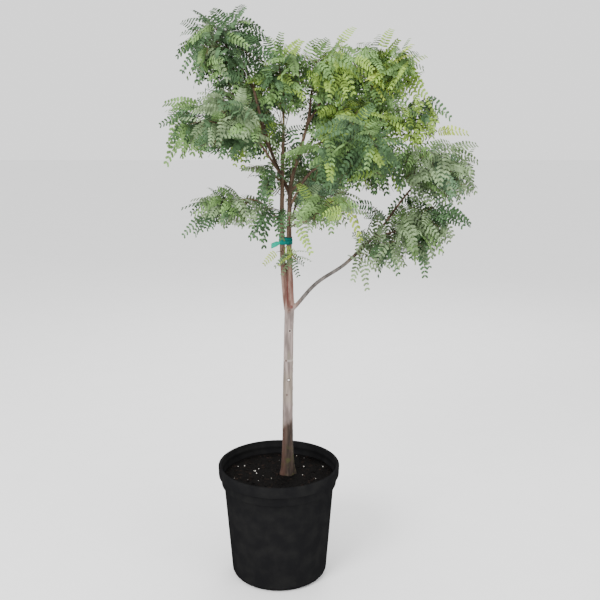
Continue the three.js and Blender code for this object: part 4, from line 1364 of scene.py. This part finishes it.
def pot_outline():
    """The pot's outline, radius and height: up its outside from the middle of the foot, and down inside."""
    height, foot, rounding = POT["height"], POT["foot"], POT["foot_rounding"]
    rim, inner, bend = POT["rim"], POT["lip_inner"], POT["lip_rounding"]
    shoulder, collar = POT["shoulder"], POT["collar"]
    slope = COLLAR_FOOT + POT["collar_slope"]
    outline = [(0, 0), (foot - rounding - 22, 0), (foot - rounding, 0)]
    outline += arc_points((foot - rounding, rounding), rounding, -80, 0, 6)
    for share in (0.2, 0.4, 0.6, 0.8):
        outline.append((lerp(foot, shoulder, share), lerp(rounding, COLLAR_FOOT, share)))
    outline += [(shoulder, COLLAR_FOOT - 1), (shoulder + 0.8, COLLAR_FOOT), (collar - 1, slope + 1)]
    outline += [(collar, slope + 3), (collar, LIP_FOOT - 1), (collar + 1, LIP_FOOT)]
    outline += [(rim - 3, LIP_FOOT + 0.6)]
    outline += arc_points((rim - 3, LIP_FOOT + 3), 2.2, -60, 0, 4)
    outline += arc_points((rim - 4, height - 4), 4, 0, 90, 7)
    outline += arc_points((inner + 2.5, height - 2.5), 2.5, 90, 180, 5)
    outline += [(inner - out, height - down) for out, down in POT["rib"]]
    outline += [(inner - bend, LIP_FOOT), (inner - bend - 1.2, LIP_FOOT - 3)]
    outline += [(shoulder - POT["wall"], COLLAR_FOOT), (foot - POT["wall"], rounding)]
    return outline + [(foot - rounding, POT["floor"]), (0, POT["floor"])]


def make_pot():
    """The pot: a rolled lip with a rib inside, a collar under it, a plain wall and a rounded foot."""
    pot = lathe(pot_outline(), POT["sides"])
    made = piece("pot_wall", pot.mesh("pot_wall"), pot_finish())
    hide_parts("pot")


def pot_inside(z):
    """The inside radius of the pot at a height."""
    shoulder = POT["shoulder"] - POT["wall"]
    lip = POT["lip_inner"] - POT["lip_rounding"]
    if z > COLLAR_FOOT:
        return lerp(shoulder, lip, (z - COLLAR_FOOT) / POT["collar_height"])
    share = (z - POT["foot_rounding"]) / (COLLAR_FOOT - POT["foot_rounding"])
    return lerp(POT["foot"] - POT["wall"], shoulder, share)


def soil_height(x, y):
    """The height of the soil, mounded towards the trunk and uneven."""
    edge = pot_inside(SOIL["edge"])
    share = np.clip((np.hypot(x, y) - SOIL["flat"]) / (edge - SOIL["flat"]), 0, 1)
    places = np.stack([x, y, 0 * x], axis=-1).reshape(-1, 3)
    lumps = 0.6 * grain(places, SOIL["lumps"], 5.5) + 0.4 * grain(places, SOIL["crumbs"], 2.5)
    return SOIL_TOP - SOIL["mound"] * share ** 2 + SOIL["relief"] * (lumps.reshape(np.shape(x)) - 0.35)


def make_soil():
    """The soil that fills the pot."""
    edge = pot_inside(SOIL["edge"]) - SOIL["gap"]
    floor, waist = POT["floor"] + 1, SOIL["waist"]
    outline = [(0, floor), (SOIL["foot"], floor), (pot_inside(waist) - 1, waist), (edge, SOIL["edge"] - 8)]
    outline += [(r, SOIL_TOP) for r in np.linspace(edge, 3, SOIL["rings"])] + [(0, SOIL_TOP)]
    bundle = lathe(outline, SOIL["sides"])
    points = np.concatenate(bundle.points)
    top = points[:, 2] > SOIL_TOP - 0.1
    points[top, 2] = soil_height(points[top, 0], points[top, 1])
    bundle.points = [points]
    made = piece("soil_bed", bundle.mesh("soil_bed"), plain_finish("potting_soil").material)
    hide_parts("soil")


def scatter(kind, seed):
    """Places strewn evenly over the soil, clear of the trunk: each with its number and the soil's height."""
    reach = pot_inside(SOIL["edge"]) - kind["margin"]
    for k in range(kind["count"]):
        radius = reach * math.sqrt(chance(seed + k, 0))
        angle = 2 * math.pi * chance(seed + k, 1)
        place = vec((radius * math.cos(angle), radius * math.sin(angle), 0))
        if np.linalg.norm(place - vec((FOOT_X, 0, 0))) > FOOT_CLEAR:
            yield k, place, soil_height(place[:1], place[1:2])[0]


def make_chips():
    """Flat, uneven bits of bark on the soil."""
    bundle = Bundle()
    box = vec([(x, y, z) for z in (-1, 1) for y in (-1, 1) for x in (-1, 1)])
    sides = [[0, 2, 3, 1], [4, 5, 7, 6], [0, 1, 5, 4], [2, 6, 7, 3], [0, 4, 6, 2], [1, 3, 7, 5]]
    for k, place, ground in scatter(CHIPS, 5000):
        size = draw(CHIPS["size"], 6000 + k, 0) * chance(6000 + k, 1) ** 0.6
        breadth = size * draw(CHIPS["breadth"], k, 2)
        half = vec((size, breadth, max(CHIPS["thinnest"], size * CHIPS["height"] * chance(k, 3)))) / 2
        jitter = vec([[draw(CHIPS["jitter"], k * 8 + c, 4 + a) for a in range(3)] for c in range(8)])
        turn = 2 * math.pi * chance(k, 30)
        tip = draw(CHIPS["tip"], k, 31)
        corners = box * half * jitter
        corners = np.stack([turned(turned(c, vec((1, 0, 0)), tip), UP, turn) for c in corners])
        bundle.add(corners + place + UP * (ground + half[2] * 0.4), sides)
    finish = plain_finish("soil_chips")
    piece("soil_chips", bundle.mesh("soil_chips"), finish.material, smooth=False)


def make_grains():
    """Pale, rounded grains in the soil."""
    bundle = Bundle()
    shares = np.linspace(0, 1, 5)
    for k, place, ground in scatter(GRAINS, 9000):
        radius = draw(GRAINS["size"], k, 50) * (0.6 + 0.7 * chance(k, 51) ** 3)
        radii = radius * np.sqrt(np.clip(1 - (2 * shares - 1) ** 2, 0.03, 1))
        lean = unit(vec((draw((-1, 1), k, 52), draw((-1, 1), k, 53), 1)))
        path = place + UP * (ground + 0.2) + np.outer(2 * shares - 1, lean) * radius * 0.8
        bundle.add(*tube(path, radii * draw((0.85, 1.1), k, 54), GRAINS["sides"]))
    piece("soil_grains", bundle.mesh("soil_grains"), plain_finish("soil_grains").material)


def ribbon(bundle, strip):
    """A closed strip of tape. Each place of it has a point, the way its face looks and its upright size."""
    corners = []
    for point, out, width in strip:
        for side, up in ((-0.5, -0.5), (0.5, -0.5), (0.5, 0.5), (-0.5, 0.5)):
            corners.append(point + out * side * TIE["thickness"] + UP * up * width)
    walls, _ = ring_faces(len(strip), 4)
    last = len(corners) - 4
    bundle.add(corners, walls, [[3, 2, 1, 0], [last, last + 1, last + 2, last + 3]])


def tie_lap(lap, low, width, grow, middle, half, radius):
    """One lap of the tape round both leaders, a little crooked."""
    strip = []
    for k in range(TIE["steps"] + 1):
        angle = k * 2 * math.pi / TIE["steps"]
        out = vec((math.cos(angle), math.sin(angle), 0))
        squeeze = 0.9 * math.sin(2 * angle + lap) + 0.5 * math.sin(5 * angle)
        place = out * (radius + grow) + vec((math.copysign(half, math.cos(angle)), 0, 0))
        point = place + vec((middle, 0, TIE["z"] + low + squeeze * 0.8))
        strip.append((point, out, width + 1.2 * math.sin(3 * angle + 2 * lap)))
    return strip


def tie_tail(middle, half, radius):
    """The loose tail, which twists as it falls to the left."""
    strip = []
    start = vec((middle - half - radius * 0.55, -radius * 0.86, TIE["z"] - 5))
    for k in range(TIE["tail_steps"] + 1):
        share = k / TIE["tail_steps"]
        way = vec((-TIE["tail"] * share, -1.5 * math.sin(2.2 * share), -9 * share ** 1.4))
        twist = 0.5 * math.sin(2.6 * share)
        out = unit(vec((0.1, -math.cos(twist), math.sin(twist) * 0.6)))
        width = lerp(6, TIE["tail_height"], min(1, share * 2.2)) - 2.5 * (share > 0.97)
        strip.append((start + way, out, width))
    return strip


def make_tie(limbs):
    """The tape round both leaders, in two laps with a crossing at the front, and its loose tail."""
    sides = []
    for name in ("leader_left", "leader_right"):
        curve = limbs[name]["curve"]
        share = (TIE["z"] - curve.at(0)[2]) / (curve.at(1)[2] - curve.at(0)[2])
        sides.append((curve.at(share)[0], limb_radius(limbs[name], share)))
    (left, left_radius), (right, right_radius) = sides
    band = ((left + right) / 2, (right - left) / 2, max(left_radius, right_radius) + TIE["clearance"])
    bundle = Bundle()
    for lap, row in enumerate(TIE["laps"]):
        ribbon(bundle, tie_lap(lap, *row, *band))
    ribbon(bundle, tie_tail(*band))
    made = piece("tie_tape", bundle.mesh("tie_tape"), tape_finish())
    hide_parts("tie")


# The stage


def make_stage():
    bpy.ops.mesh.primitive_plane_add(size=STAGE["size"], location=(0, 0, -STAGE["drop"]))
    floor = bpy.context.object
    floor.name = "floor"
    floor.data.materials.append(plain_finish("floor_paper").material)
    world = bpy.data.worlds.new("studio")
    bpy.context.scene.world = world
    world.use_nodes = True
    background = world.node_tree.nodes["Background"]
    background.inputs["Color"].default_value = (1, 1, 1, 1)
    background.inputs["Strength"].default_value = STAGE["sky"]


def add_light(name, place, target, size, power):
    lamp = bpy.data.lights.new(name, "AREA")
    lamp.shape = "DISK"
    lamp.size = size
    lamp.energy = power
    made = placed(name, lamp)
    made.location = place
    made.rotation_mode = "QUATERNION"
    made.rotation_quaternion = (Vector(target) - Vector(place)).to_track_quat("-Z", "Y")


def make_camera():
    data = bpy.data.cameras.new("camera")
    data.lens = CAMERA["lens"]
    data.sensor_width = CAMERA["sensor"]
    camera = placed("camera", data)
    camera.location = Vector(CAMERA["place"]) * MM
    camera.rotation_euler = (math.radians(90 - CAMERA["down"]), 0, 0)
    bpy.context.scene.camera = camera


make_camera()
make_stage()
for light in LIGHTS:
    add_light(**light)

limbs = lay_limbs()
probes = probe_limbs(limbs)
part_spaces(MASSES)
make_pot()
make_soil()
make_chips()
make_grains()
make_bark(limbs)
make_tie(limbs)
make_foliage(limbs, probes)
